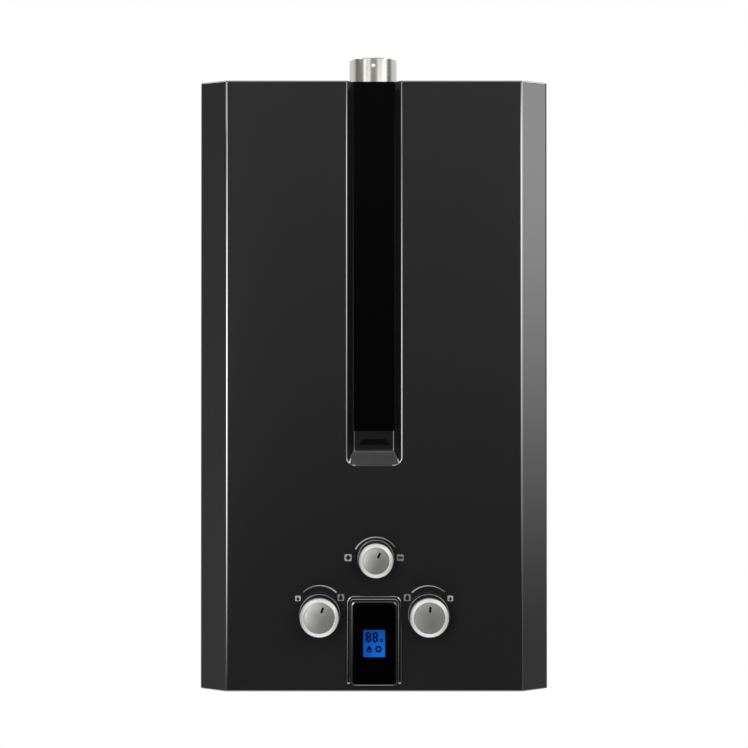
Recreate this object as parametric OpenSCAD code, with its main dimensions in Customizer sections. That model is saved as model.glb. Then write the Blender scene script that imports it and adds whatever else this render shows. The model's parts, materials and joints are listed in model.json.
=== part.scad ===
// Wall-hung instantaneous gas water heater with a fan-assisted flue.
// +Z is up, the front faces -Y and the wall is the plane y = 0.
// The origin is the centre of the four wall holes, on the wall.

/* [Case] */
// Width of the case
body_w = 350; // [330:1:400]
// Height of the case
body_h = 612; // [580:1:700]
// Depth from the wall to the front panel
body_d = 168; // [160:1:200]
// Width of each bevel, seen from the front
bevel_w = 27.5; // [15:0.5:40]
// Depth of each bevel
bevel_d = 14; // [8:0.5:25]
// Sheet thickness of the front cover
sheet_t = 0.8; // [0.6:0.1:1.2]
// Width of the lip folded in along the cover's top and bottom
lip_w = 12; // [10:0.5:20]
// Gap between the cover's rear edge and the wall
wall_gap = 3; // [2:0.5:6]
// Thickness of the back plate and of the top and bottom plates
plate_t = 1; // [0.8:0.1:1.5]
// Depth of the back plate's side flanges
flange_d = 16; // [14:1:24]
// Clearance between parts that slide past each other
fit_gap = 0.3; // [0.2:0.05:0.5]
// Radial clearance of a shaft in its bearing
run_gap = 0.05; // [0.02:0.01:0.1]

/* [Wall tabs] */
// Width of each wall tab
tab_w = 44; // [30:1:60]
// Height of each wall tab beyond the case
tab_h = 18; // [14:1:24]
// Distance between the left and right wall holes
tab_span = 220; // [160:5:260]
// Diameter of each wall hole
wall_hole_d = 8; // [6:0.5:10]

/* [Recess] */
// Width of the recess at the panel
recess_w = 54.6; // [48:0.2:70]
// Width of the recess floor
recess_floor_w = 40; // [34:0.5:44]
// Depth of the recess
recess_d = 8; // [5:0.5:10]
// Height of the recess's foot above the case's lower edge
recess_foot_h = 225.6; // [220:0.2:240]
// Rise of the sloping wall at the recess's foot
recess_slope_h = 14.5; // [8:0.5:20]
// Thickness of the gloss strip on the recess floor
strip_t = 1.2; // [0.8:0.1:2]
// Bare floor between the gloss strip and the sloping foot wall
strip_foot_gap = 20.2; // [16:0.2:40]
// Width of the flame window along its upper edge
window_top_w = 23.6; // [16:0.2:28]
// Width of the flame window along its lower edge
window_foot_w = 31; // [20:0.5:32]
// Height of the flame window
window_h = 5.7; // [4:0.1:8]
// Height of the flame window above the sloping foot wall
window_rise = 6; // [3:0.5:8]
// Thickness of the flame window's pane
pane_t = 2; // [1.5:0.1:3]

/* [Display] */
// Width across the display bezel
display_w = 55.4; // [52:0.2:64]
// Height of the bezel's upper edge above the case's lower edge
display_top_h = 96; // [94:0.5:104]
// Height of the bezel's two feet above the case's lower edge
bezel_foot_h = 7.6; // [4:0.2:12]
// Width of the bezel's rib
bezel_rib_w = 4.3; // [3:0.1:5]
// Outer corner radius of the bezel
bezel_r = 7.5; // [6:0.5:10]
// How far the bezel's rib stands proud of the panel
bezel_proud = 1.8; // [1:0.1:3]
// Gap between the bezel's rib and each side of the lens
lens_side_gap = 1.7; // [1:0.1:4]
// Gap between the bezel's rib and the lens's upper edge
lens_top_gap = 2.5; // [1:0.1:6]
// Height of the lens's lower edge above the case's lower edge
lens_foot_h = 6; // [4:0.5:8]
// How far the lens stands proud of the panel
lens_proud = 2.6; // [2:0.1:4]
// Width of the LCD
lcd_w = 21.7; // [16:0.1:28]
// Height of the LCD
lcd_h = 27; // [20:0.5:34]
// Height of the LCD's lower edge above the case's lower edge
lcd_foot_h = 35; // [24:0.5:44]
// Depth of the display housing behind the panel
display_depth = 14; // [12:0.5:18]
// Thickness of the display board
board_t = 1.6; // [1.2:0.1:2]

/* [Knobs] */
// Distance between the gas and water knobs
knob_span = 109; // [104:1:120]
// Height of the gas and water knobs above the case's lower edge
knob_h = 77; // [72:0.5:84]
// Diameter of the gas and water knobs
knob_d = 38.6; // [34:0.2:42]
// Height of the gas-saver knob above the case's lower edge
saver_h = 133.3; // [130:0.1:140]
// Sideways place of the gas-saver knob
saver_x = 1.7; // [-3:0.1:3]
// Diameter of the gas-saver knob
saver_d = 34.2; // [30:0.2:38]
// How far the knobs stand out from the panel
knob_reach = 20; // [16:0.5:26]
// Thickness of the metal cap on each knob
cap_t = 5; // [4:0.5:6]
// Width of the cap's chamfered rim
cap_rim_w = 3.8; // [2:0.1:5]
// Gap between a knob and the panel
knob_gap = 0.8; // [0.5:0.1:1.5]
// Wall thickness of a knob
knob_wall = 2; // [1.5:0.1:3]
// Diameter of each spindle
spindle_d = 8; // [6:0.5:9]
// Gap between a knob's rim and the trim ring around it
ring_gap = 0.3; // [0.2:0.1:1]
// Width of the trim ring around each knob
ring_w = 0.9; // [0.6:0.1:2]
// How far each trim ring stands proud of the panel
ring_proud = 1; // [0.5:0.1:1.5]

/* [Flue] */
// Outer diameter of the flue collar
flue_od = 50; // [46:0.5:56]
// Wall thickness of the flue collar
flue_wall = 0.8; // [0.6:0.1:1.2]
// Height of the collar's rim above the case
flue_reach = 34.8; // [30:0.2:45]
// Height of the duct stop bead above the case
bead_rise = 7; // [5:0.5:10]
// How far the duct stop bead stands out from the collar
bead_out = 1.5; // [1:0.1:2.5]
// Width of the collar's base flange
collar_flange_w = 15; // [14:0.5:20]
// Thickness of the collar's base flange
collar_flange_t = 1.5; // [1:0.1:2]
// Diameter of the duct screw's hole
duct_hole_d = 4; // [3:0.1:5]
// Distance from the rim down to the duct screw's hole
duct_hole_drop = 8.3; // [6:0.1:12]
// Depth of the collar's spigot below the top plate
spigot_h = 12; // [8:1:16]

/* [Fan] */
// Diameter of the fan impeller
impeller_d = 88; // [76:1:92]
// Width of the fan impeller
impeller_w = 38; // [30:1:44]
// Number of impeller blades
blade_count = 24; // [16:1:32]
// Gap between the impeller and the start of the scroll
scroll_gap = 5; // [4:0.5:8]
// Growth of the scroll's radius over its turn
scroll_growth = 26; // [20:1:28]
// Wall thickness of the scroll, hood, chamber and burner frame
duct_t = 0.8; // [0.6:0.1:1.2]
// Distance from the top plate down to the fan's axis
fan_drop = 80; // [72:1:84]
// Diameter of the fan motor
motor_d = 56; // [48:1:64]
// Length of the fan motor
motor_l = 30; // [26:1:34]
// Diameter of the fan shaft
fan_shaft_d = 6; // [5:0.5:8]

/* [Heat exchanger] */
// Width of the combustion chamber
chamber_w = 200; // [190:2:210]
// Depth of the combustion chamber
chamber_d = 86; // [80:1:90]
// Distance from the wall to the combustion chamber
chamber_gap = 25; // [22:1:28]
// Height of the flue hood
hood_h = 42; // [30:1:60]
// Height of the fins
fin_h = 45; // [36:1:60]
// Thickness of a fin
fin_t = 0.5; // [0.4:0.1:0.8]
// Distance from fin to fin
fin_pitch = 5; // [4:0.5:8]
// Outer diameter of the water tubes and pipes
tube_d = 13; // [10:0.5:14]
// Wall thickness of the water tubes and pipes
tube_wall = 0.8; // [0.6:0.1:1.2]
// Distance from one exchanger tube to the next
tube_pitch = 16.5; // [15.5:0.5:17.5]
// Bend radius of the pipes
bend_r = 12; // [10:0.5:14]

/* [Burner] */
// Height of the burner
burner_h = 50; // [40:1:54]
// Distance from the flame window's middle down to the burner
flame_h = 14; // [8:1:20]
// Number of burner blades
burner_count = 11; // [8:1:12]
// Thickness of a burner blade
burner_blade_t = 8; // [6:0.5:9]
// Width and height of the gas manifold bar
manifold_s = 14; // [12:0.5:16]
// Diameter of a gas nozzle
nozzle_d = 6; // [5:0.5:8]

/* [Valves] */
// Width, height and depth of the gas valve's casting
valve_s = 56; // [52:1:58]
// Distance from the wall to the middle of the valves
valve_y = 90; // [88:1:92]
// Distance of the push rod behind the middle of the valves
rod_back = 18; // [17:0.5:19]
// Diameter of the push rod
rod_d = 6; // [5:0.5:7]
// Travel of the push rod
rod_travel = 4; // [3:0.5:5]
// Diameter of the diaphragm and its cover
diaphragm_d = 60; // [54:1:60]
// Thickness of the diaphragm
diaphragm_t = 2; // [1.5:0.1:3]
// Diameter of the spring's wire
spring_wire_d = 1.6; // [1.2:0.1:2]
// Diameter of the spring at the middle of its wire
spring_d = 16; // [13:0.5:17]
// Number of turns in the spring
spring_turns = 7; // [5:1:9]
// Diameter of the solenoid
solenoid_d = 26; // [22:1:28]
// Height of the solenoid
solenoid_h = 30; // [26:1:34]
// Travel of the solenoid's plunger
plunger_travel = 3; // [2:0.5:4]

/* [Connections] */
// Thread diameter of the gas and water connections
thread_d = 20.96; // [20:0.02:22]
// Bore of the gas and water connections
port_d = 15; // [12:0.5:15]
// How far the connections reach below the case
stub_reach = 18; // [16:0.5:26]
// Thickness of each connection's lock nut
nut_t = 6; // [5:0.5:8]
// Sideways place of the hot water connection, left of the middle
hot_x = 125; // [122:1:134]
// Bore of the cord gland
gland_bore_d = 8.4; // [6:0.2:10]
// Distance of the cord gland from the case's right side
gland_side_gap = 45; // [37:1:51]

/* [Electrics] */
// Width of the control box
control_w = 40; // [34:1:42]
// Height of the control box
control_h = 110; // [90:1:120]
// Depth of the control box
control_d = 44; // [36:1:48]
// Diameter of the air pressure switch
switch_d = 44; // [36:1:46]
// Thickness of the air pressure switch
switch_t = 20; // [16:1:21]
// Diameter of the pressure hose
hose_d = 7; // [6:0.5:8]

/* [Hidden] */
$fn = 64;
// Overshoot of a cut past the face it opens
over = 1;

// Case planes
side_x = body_w / 2;
top_z = body_h / 2;
low_z = -top_z;
front_y = -body_d;
panel_back_y = front_y + sheet_t;
deck_top_z = top_z - sheet_t;
deck_z = deck_top_z - plate_t;
floor_low_z = -deck_top_z;
floor_z = -deck_z;
plate_y = -plate_t;
// Depth that the recess takes up behind the front panel
recess_back_y = front_y + recess_d + sheet_t;
flange_x = side_x - sheet_t - fit_gap;

// Recess and display heights
recess_foot_z = low_z + recess_foot_h;
recess_floor_z = recess_foot_z + recess_slope_h;
strip_foot_z = recess_floor_z + strip_foot_gap;
window_z = recess_floor_z + window_rise;
lens_w = display_w - 2 * (bezel_rib_w + lens_side_gap);
lens_top_h = display_top_h - bezel_rib_w - lens_top_gap;
lcd_z = low_z + lcd_foot_h;
lcd_front_y = front_y - lens_proud + fit_gap;
board_y = panel_back_y + display_depth / 3;
housing_inset = 2;
housing_rise = 3;
housing_w = lens_w - 2 * housing_inset;
housing_h = lens_top_h - lens_foot_h - 2 * housing_rise;
housing_z = low_z + lens_foot_h + housing_rise;
housing_wall = 1.2;

// Knob places, as [x, z, diameter, pointer angle], where the angle turns clockwise from upright
gas_at = [-knob_span / 2, low_z + knob_h, knob_d, 21];
water_at = [knob_span / 2, low_z + knob_h, knob_d, 5];
saver_at = [saver_x, low_z + saver_h, saver_d, 28];
knob_face_y = front_y - knob_reach;
cap_back_y = knob_face_y + cap_t;
pointer_w = 2;
pointer_l = 5.8;
pointer_d = 0.6;
// Distance of the pointer's outer end from the cap's edge
pointer_in = 8.1;
spindle_room = 4;
spindle_hole_d = spindle_d + 2 * spindle_room;

// Flue and fan
flue_y = front_y / 2;
rim_z = top_z + flue_reach;
scroll_in = flue_od + 2 * fit_gap;
scroll_front_y = flue_y - scroll_in / 2 - duct_t;
scroll_back_y = flue_y + scroll_in / 2 + duct_t;
scroll_r0 = impeller_d / 2 + scroll_gap;
scroll_r1 = scroll_r0 + scroll_growth;
fan_x = scroll_in / 2 - scroll_r1;
fan_z = deck_z - fan_drop;
inlet_lap = 8;
fan_inlet_r = impeller_d / 2 - inlet_lap;
riser_margin = 10;
riser_half_w = fan_inlet_r + riser_margin;
shaft_r = fan_shaft_d / 2;
motor_wall = 2;
motor_room = 6;
motor_rotor_r = motor_d / 2 - motor_wall - motor_room;

// Heat exchanger stack, hung from the fan and standing on the burner
chamber_back_y = -chamber_gap;
chamber_front_y = chamber_back_y - chamber_d;
hood_top_z = fan_z - scroll_r1 - duct_t - over;
fin_top_z = hood_top_z - hood_h;
burner_top_z = window_z + window_h / 2 - flame_h;
burner_low_z = burner_top_z - burner_h;
tube_r = tube_d / 2;
tube_z = fin_top_z - fin_h / 2;
tube_count = 5;
tube_mid_y = (chamber_front_y + chamber_back_y) / 2;
function tube_row_y(i) = tube_mid_y + (i - (tube_count - 1) / 2) * tube_pitch;
tube_stub = 6;
tube_end_x = chamber_w / 2 + tube_stub;
sight_d = 18;
electrode_d = 8;
electrode_rise = 14;
electrode_z = burner_top_z + electrode_rise;
electrode_xs = [-36, 36, 62];

// Burner and manifold
burner_margin = 2;
burner_pitch = (chamber_w - 2 * duct_t - burner_blade_t - 2 * burner_margin) / (burner_count - 1);
nozzle_rise = 12;
nozzle_z = burner_low_z + nozzle_rise;
nozzle_l = 6;
manifold_y = chamber_front_y - nozzle_l - manifold_s / 2;
manifold_inset = 2;
manifold_l = chamber_w - 2 * manifold_inset;

// Valves
gas_x = gas_at[0];
water_x = water_at[0];
valve_z = gas_at[1];
valve_mid_y = -valve_y;
valve_front_y = valve_mid_y - valve_s / 2;
valve_top_z = valve_z + valve_s / 2;
valve_low_z = valve_z - valve_s / 2;
valve_left_x = gas_x - valve_s / 2;
valve_right_x = gas_x + valve_s / 2;
rod_y = valve_mid_y + rod_back;
rod_r = rod_d / 2;
plug_r = 9;
plug_l = 26;
poppet_r = 10.5;
poppet_t = 3;
poppet_room_r = 12;
seat_offset = 6;
seat_x = gas_x + seat_offset;
seat_l = 6;
seat_r = 8;
seat_mid_x = seat_x + seat_l / 2;
valve_wall = 4;
valve_back_y = rod_y + poppet_room_r + valve_wall;
poppet_x = seat_x - fit_gap - poppet_t;
spring_room_l = poppet_x - valve_left_x;
// How far the water valve reaches left and right of its spindle
water_reach_l = 14;
water_reach_r = 28;
water_left_x = water_x - water_reach_l;
water_right_x = water_x + water_reach_r;
diaphragm_grip = 8;
cavity_r = diaphragm_d / 2 - diaphragm_grip;
water_flange_t = 8;
flange_x0 = water_left_x - water_flange_t;
cover_x = flange_x0 - diaphragm_t;
cover_wall = 4;
cover_clear = 6;
cover_room = rod_travel + cover_clear;
cover_left_x = cover_x - cover_room - cover_wall;
plate_gap = 4;
plate_r = cavity_r - plate_gap;
plate_l = 2.5;
riser_port_rise = 10;
riser_port_z = valve_z + riser_port_rise;
riser_x = tube_end_x + bend_r;
saver_half = 20;
saver_half_h = 18;
// How far the saver valve reaches in front of and behind the manifold
saver_reach_f = 18;
saver_reach_b = 26;
saver_front_y = manifold_y - saver_reach_f;
saver_back_y = manifold_y + saver_reach_b;
feed_y = valve_front_y + plug_l / 2;

// Microswitch on the push rod's collar
collar_r = 7;
collar_l = 2.5;
lever_t = 0.8;
lever_w = 6;
lever_x = -fit_gap - lever_t / 2;
lever_arm = 8;
lever_pin_r = 0.8;
ear_t = 2;
ear_gap = 0.5;
pin_z = valve_z + collar_r + lever_arm;
lever_low_z = valve_z + rod_r + 2 * fit_gap;
micro_rise = 1.6;
micro_low_z = pin_z + micro_rise;
micro_x = -8;
micro_l = 20;
arm_t = 4;

// Connections
barrel_top_z = valve_low_z;
stub_z = low_z - stub_reach;
hot_at = -hot_x;
connection_xs = [hot_at, gas_x, water_x];
hexagon_t = 4;
nut_flank = 3.5;
nut_af = thread_d + 2 * nut_flank;
gland_x = side_x - gland_side_gap;
gland_wall = 3.5;
gland_r = gland_bore_d / 2 + gland_wall;
gland_flange_w = 3;
gland_head_r = gland_r + gland_flange_w;
gland_head_h = 9;
drain_offset = 14;
drain_x = water_x + drain_offset;
drain_d = 10;
drain_flange_w = 3;
drain_head_d = drain_d + 2 * drain_flange_w;
screw_d = 4;
screw_head_d = 8;
screw_head_t = 2.2;
screw_l = 8;
screw_edge = 9;
screw_y = -wall_gap - screw_edge;
screw_zs = [-body_h / 3, 0, body_h / 3];
collar_screw_gap = 9;
collar_screw_r = flue_od / 2 + collar_screw_gap;
collar_screw_angles = [0, 90, 180, 270];

function unit(v) = v / norm(v);

// Plan outline of the case moved in by t, with its rear edge at y_rear
function case_outline(t, y_rear) =
  let (
    slant = norm([bevel_w, bevel_d]),
    x_side = side_x - t,
    y_front = front_y + t,
    c = bevel_d * side_x - bevel_w * (front_y + bevel_d) - t * slant,
    y_bend = (bevel_d * x_side - c) / bevel_w,
    x_bend = (c + bevel_w * y_front) / bevel_d
  )
  [
    [-x_side, y_rear], [-x_side, y_bend], [-x_bend, y_front],
    [x_bend, y_front], [x_side, y_bend], [x_side, y_rear]
  ];

// Plan outline of the recess, its walls and floor moved out by g
function recess_plan(g) =
  let (
    run = (recess_w - recess_floor_w) / 2,
    k = run / recess_d,
    x0 = recess_w / 2 + g * norm([run, recess_d]) / recess_d
  )
  [
    [-x0 - k * over, front_y - over], [x0 + k * over, front_y - over],
    [x0 - k * (recess_d + g), front_y + recess_d + g],
    [-x0 + k * (recess_d + g), front_y + recess_d + g]
  ];

// Side outline of the recess as [y, z], its walls and floor moved out by g
function recess_side(g) =
  let (
    k = recess_slope_h / recess_d,
    z0 = recess_foot_z - g * norm([recess_slope_h, recess_d]) / recess_d
  )
  [
    [front_y - over, z0 - k * over], [front_y + recess_d + g, z0 + k * (recess_d + g)],
    [front_y + recess_d + g, top_z + over], [front_y - over, top_z + over]
  ];

// Outline of the scroll as [x, z] moved out by w, running up to a height of z_end
function scroll_outline(w, z_end) =
  let (
    r0 = scroll_r0 + w,
    x_left = -scroll_in / 2 - w,
    a0 = acos((x_left - fan_x) / r0),
    n = 40
  )
  concat(
    [for (i = [0 : n])
      let (a = a0 + (360 - a0) * i / n, r = r0 + scroll_growth * i / n)
      [fan_x + r * cos(a), fan_z + r * sin(a)]],
    [[scroll_in / 2 + w, z_end], [x_left, z_end]]
  );

// Box between two opposite corners
module block(low, high) {
  translate(low) cube(high - low);
}

// Solid drawn as [x, z] and run back to front from y0 by l
module along_y(y0, l) {
  translate([0, y0, 0]) rotate([90, 0, 0]) linear_extrude(l) children();
}

// Solid drawn as [y, z] and run along X, centred, with length l
module along_x(l) {
  rotate([90, 0, 90]) linear_extrude(l, center = true) children();
}

// Round bar from a to b
module bar(a, b, r) {
  d = unit(b - a);
  u = abs(d[2]) > 0.5 ? [1, 0, 0] : [0, 0, 1];
  v = cross(d, u);
  multmatrix([
    [u[0], v[0], d[0], a[0]],
    [u[1], v[1], d[1], a[1]],
    [u[2], v[2], d[2], a[2]]
  ]) cylinder(h = norm(b - a), r = r);
}

// Square bend at corner p, from direction d1 to direction d2
module elbow(p, d1, d2, r, bend) {
  c = p - bend * d1 + bend * d2;
  n = cross(d1, d2);
  multmatrix([
    [-d2[0], d1[0], n[0], c[0]],
    [-d2[1], d1[1], n[1], c[1]],
    [-d2[2], d1[2], n[2], c[2]]
  ]) rotate_extrude(angle = 90) translate([bend, 0]) circle(r = r);
}

// Round bar along a path of square corners, each turned with the same bend
module pipe_run(path, r, bend) {
  last = len(path) - 1;
  for (i = [0 : last - 1]) {
    d = unit(path[i + 1] - path[i]);
    a = path[i] + (i > 0 ? bend : 0) * d;
    b = path[i + 1] - (i < last - 1 ? bend : 0) * d;
    if (norm(b - a) > run_gap) bar(a, b, r);
  }
  for (i = [1 : last - 1])
    elbow(path[i], unit(path[i] - path[i - 1]), unit(path[i + 1] - path[i]), r, bend);
}

// Pipe with a bore that is open at both ends
module pipe(path, r, wall, bend) {
  last = len(path) - 1;
  head = path[0] - over * unit(path[1] - path[0]);
  tail = path[last] + over * unit(path[last] - path[last - 1]);
  inner = [for (i = [0 : last]) i == 0 ? head : i == last ? tail : path[i]];
  difference() {
    pipe_run(path, r, bend);
    pipe_run(inner, r - wall, bend);
  }
}

// Places its children at a knob, facing the panel, with z pointing out of the front
module at_knob(at, y) {
  translate([at[0], y, at[1]]) rotate([90, 0, 0]) children();
}

// Sheet metal box, open below and above, standing on z0
module shell(half_w, y_back, y_front, z0, z1) {
  difference() {
    block([-half_w, y_front, z0], [half_w, y_back, z1]);
    block([-half_w + duct_t, y_front + duct_t, z0 - over], [half_w - duct_t, y_back - duct_t, z1 + over]);
  }
}

module back_plate() {
  bracket_w = 36;
  bracket_h = 24;
  color("#9a9c9e") difference() {
    union() {
      block([-flange_x, plate_y, low_z], [flange_x, 0, top_z]);
      for (sx = [-1, 1])
        translate([sx * tab_span / 2, plate_y / 2, 0])
          cube([tab_w, plate_t, body_h + 2 * tab_h], center = true);
      // Side flanges that the cover is screwed to
      for (sx = [-1, 1])
        translate([sx * (flange_x - plate_t / 2), -flange_d / 2, 0])
          cube([plate_t, flange_d, 2 * deck_z], center = true);
      // Brackets that carry the combustion chamber
      for (sx = [-1, 1])
        translate([sx * chamber_w / 4, 0, tube_z - fin_h])
          difference() {
            block(
              [-bracket_w / 2, chamber_back_y, -bracket_h / 2],
              [bracket_w / 2, plate_y, bracket_h / 2]
            );
            block(
              [-bracket_w / 2 + plate_t, chamber_back_y + plate_t, -bracket_h / 2 - over],
              [bracket_w / 2 - plate_t, plate_y, bracket_h / 2 + over]
            );
          }
    }
    for (sx = [-1, 1], sz = [-1, 1])
      translate([sx * tab_span / 2, over, sz * (top_z + tab_h / 2)])
        rotate([90, 0, 0]) cylinder(h = plate_t + 2 * over, d = wall_hole_d);
    for (sx = [-1, 1], z = screw_zs)
      translate([sx * flange_x, screw_y, z]) rotate([0, 90, 0])
        cylinder(h = 4 * plate_t, d = screw_d + 2 * run_gap, center = true);
  }
}

// Outline of the top and bottom plates, clear of the cover and of the recess
module deck_outline() {
  intersection() {
    polygon(case_outline(sheet_t + fit_gap, plate_y));
    translate([-side_x, recess_back_y + fit_gap]) square([body_w, body_d]);
  }
}

module top_plate() {
  color("#8d8f91") difference() {
    translate([0, 0, deck_z]) linear_extrude(plate_t) deck_outline();
    translate([0, flue_y, deck_z - over]) cylinder(h = plate_t + 2 * over, d = flue_od + 2 * fit_gap);
    for (a = collar_screw_angles)
      translate([0, flue_y, deck_z - over]) rotate(a) translate([collar_screw_r, 0])
        cylinder(h = plate_t + 2 * over, d = screw_d + 2 * run_gap);
  }
}

module bottom_plate() {
  slot_w = 34;
  slot_d = 5;
  slot_pitch = 11;
  color("#8d8f91") difference() {
    translate([0, 0, floor_low_z]) linear_extrude(plate_t) difference() {
      deck_outline();
      // Air intake slots behind and in front of the connections
      for (sx = [-1, 0, 1], i = [0 : 2])
        translate([sx * 1.6 * slot_w, plate_y - 16 - i * slot_pitch])
          square([slot_w, slot_d], center = true);
      for (sx = [-2, -1, 0, 1, 2], i = [0 : 2])
        translate([sx * 1.4 * slot_w, recess_back_y + 10 + i * slot_pitch])
          square([slot_w, slot_d], center = true);
    }
    translate([0, 0, floor_low_z - over]) linear_extrude(plate_t + 2 * over) {
      for (x = connection_xs) translate([x, rod_y]) circle(r = thread_d / 2 + fit_gap);
      translate([gland_x, rod_y]) circle(r = gland_r + fit_gap);
      translate([drain_x, feed_y]) circle(r = drain_d / 2 + fit_gap);
    }
  }
}

// Hollow of the recess, grown by g behind the panel
module recess(g) {
  intersection() {
    linear_extrude(body_h + 4 * over, center = true) polygon(recess_plan(g));
    along_x(body_w) polygon(recess_side(g));
  }
}

module window_outline() {
  polygon([
    [-window_foot_w / 2, window_z], [window_foot_w / 2, window_z],
    [window_top_w / 2, window_z + window_h], [-window_top_w / 2, window_z + window_h]
  ]);
}

module front_cover() {
  color("#2a2a2c") difference() {
    union() {
      difference() {
        linear_extrude(body_h, center = true) polygon(case_outline(0, -wall_gap));
        linear_extrude(body_h + 2 * over, center = true) polygon(case_outline(sheet_t, over));
      }
      for (sz = [-1, 1])
        translate([0, 0, sz * (top_z - sheet_t / 2)]) linear_extrude(sheet_t, center = true) difference() {
          polygon(case_outline(0, -wall_gap));
          polygon(case_outline(lip_w, over));
        }
      intersection() {
        recess(sheet_t);
        linear_extrude(body_h, center = true) polygon(case_outline(0, -wall_gap));
      }
    }
    recess(0);
    along_y(recess_back_y + over, recess_d + 2 * over) window_outline();
    for (at = [gas_at, water_at, saver_at])
      at_knob(at, panel_back_y + over) cylinder(h = sheet_t + 2 * over, d = spindle_hole_d);
    block(
      [-lcd_w / 2 - fit_gap, front_y - over, lcd_z - fit_gap],
      [lcd_w / 2 + fit_gap, panel_back_y + over, lcd_z + lcd_h + fit_gap]
    );
    for (sx = [-1, 1], z = screw_zs)
      translate([sx * side_x, screw_y, z]) rotate([0, 90, 0])
        cylinder(h = 4 * sheet_t, d = screw_d + 2 * run_gap, center = true);
  }
}

module gloss_strip() {
  y = front_y + recess_d;
  half_w = recess_floor_w / 2 - fit_gap;
  color("#050505") block([-half_w, y - strip_t, strip_foot_z], [half_w, y, top_z]);
}

module window_pane() {
  margin = 4;
  color("#50463a")
    block(
      [-window_foot_w / 2 - margin, recess_back_y, window_z - margin],
      [window_foot_w / 2 + margin, recess_back_y + pane_t, window_z + window_h + margin]
    );
}

// Panel-face rectangle with round upper corners
module arch(half_w, z0, z1, r) {
  translate([-half_w, z0]) square([2 * half_w, z1 - z0 - r]);
  translate([-half_w + r, z0]) square([2 * (half_w - r), z1 - z0]);
  for (sx = [-1, 1]) translate([sx * (half_w - r), z1 - r]) circle(r = r);
}

module display_bezel() {
  foot_z = low_z + bezel_foot_h;
  head_z = low_z + display_top_h;
  color("#101012") along_y(front_y, bezel_proud) difference() {
    arch(display_w / 2, foot_z, head_z, bezel_r);
    arch(display_w / 2 - bezel_rib_w, foot_z - over, head_z - bezel_rib_w, bezel_r - bezel_rib_w);
  }
}

module display_lens() {
  z0 = low_z + lens_foot_h;
  z1 = low_z + lens_top_h;
  color("#030303") difference() {
    block([-lens_w / 2, front_y - lens_proud, z0], [lens_w / 2, front_y, z1]);
    block(
      [-lcd_w / 2 - fit_gap, front_y - lens_proud - over, lcd_z - fit_gap],
      [lcd_w / 2 + fit_gap, front_y + over, lcd_z + lcd_h + fit_gap]
    );
    // Chamfer around the front edge
    for (sx = [-1, 1])
      translate([sx * lens_w / 2, front_y - lens_proud, 0]) rotate(45)
        cube([lens_proud, lens_proud, body_h], center = true);
    for (z = [z0, z1])
      translate([0, front_y - lens_proud, z]) rotate([45, 0, 0])
        cube([body_w, lens_proud, lens_proud], center = true);
  }
}

module lcd_panel() {
  color("#1464d2") block([-lcd_w / 2, lcd_front_y, lcd_z], [lcd_w / 2, board_y, lcd_z + lcd_h]);
}

module display_housing() {
  y1 = panel_back_y + display_depth;
  post = 4;
  color("#303234") {
    difference() {
      block([-housing_w / 2, panel_back_y, housing_z], [housing_w / 2, y1, housing_z + housing_h]);
      block(
        [-housing_w / 2 + housing_wall, panel_back_y - over, housing_z + housing_wall],
        [housing_w / 2 - housing_wall, y1 - housing_wall, housing_z + housing_h - housing_wall]
      );
    }
    for (sx = [-1, 1], z = [housing_z + 2 * post, housing_z + housing_h - 2 * post])
      translate([sx * (housing_w / 2 - 2 * post), y1 - housing_wall, z]) rotate([90, 0, 0])
        cylinder(h = y1 - housing_wall - board_y - board_t, d = post);
  }
}

module display_board() {
  inset = housing_wall + fit_gap;
  color("#2f6b3c")
    block(
      [-housing_w / 2 + inset, board_y, housing_z + inset],
      [housing_w / 2 - inset, board_y + board_t, housing_z + housing_h - inset]
    );
}

module knob_rings() {
  color("#161618") for (at = [gas_at, water_at, saver_at])
    at_knob(at, front_y) difference() {
      cylinder(h = ring_proud, r = at[2] / 2 + ring_gap + ring_w);
      translate([0, 0, -over]) cylinder(h = ring_proud + 2 * over, r = at[2] / 2 + ring_gap);
    }
}

// Hollow knob with a boss on the spindle, from its open back to the cap
module knob_body(at) {
  l = front_y - knob_gap - cap_back_y;
  boss_r = spindle_d / 2 + 3;
  web_t = 2.5;
  color("#111113") at_knob(at, front_y - knob_gap) difference() {
    cylinder(h = l, d = at[2] - 2 * fit_gap);
    difference() {
      translate([0, 0, -over]) cylinder(h = l - web_t + over, d = at[2] - 2 * fit_gap - 2 * knob_wall);
      translate([0, 0, -2 * over]) cylinder(h = l + 2 * over, r = boss_r);
    }
    translate([0, 0, -over]) cylinder(h = l - web_t + over, d = spindle_d + 2 * run_gap);
  }
}

// Turned metal cap with a chamfered rim and a pointer slot
module knob_cap(at) {
  r = at[2] / 2;
  rim_h = cap_t * 0.55;
  color("#c4c4c2") at_knob(at, cap_back_y) difference() {
    rotate_extrude() polygon([[0, 0], [r, 0], [r, cap_t - rim_h], [r - cap_rim_w, cap_t], [0, cap_t]]);
    rotate(-at[3]) translate([-pointer_w / 2, r - pointer_in - pointer_l, cap_t - pointer_d])
      cube([pointer_w, pointer_l, pointer_d + over]);
  }
}

// Spindle from inside the knob's boss to its plug in the valve whose front is at y_valve
module spindle(at, y_valve) {
  tip_y = cap_back_y + 3;
  end_y = y_valve + plug_l - fit_gap;
  color("#b9a15a") {
    at_knob(at, end_y) cylinder(h = end_y - tip_y, d = spindle_d);
    at_knob(at, end_y) cylinder(h = plug_l - 2 * fit_gap, r = plug_r - run_gap);
  }
}

module gas_knob() knob_body(gas_at);
module gas_knob_cap() knob_cap(gas_at);
module gas_spindle() spindle(gas_at, valve_front_y);
module saver_knob() knob_body(saver_at);
module saver_knob_cap() knob_cap(saver_at);
module saver_spindle() spindle(saver_at, saver_front_y);
module water_knob() knob_body(water_at);
module water_knob_cap() knob_cap(water_at);
module water_spindle() spindle(water_at, valve_front_y);

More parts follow.
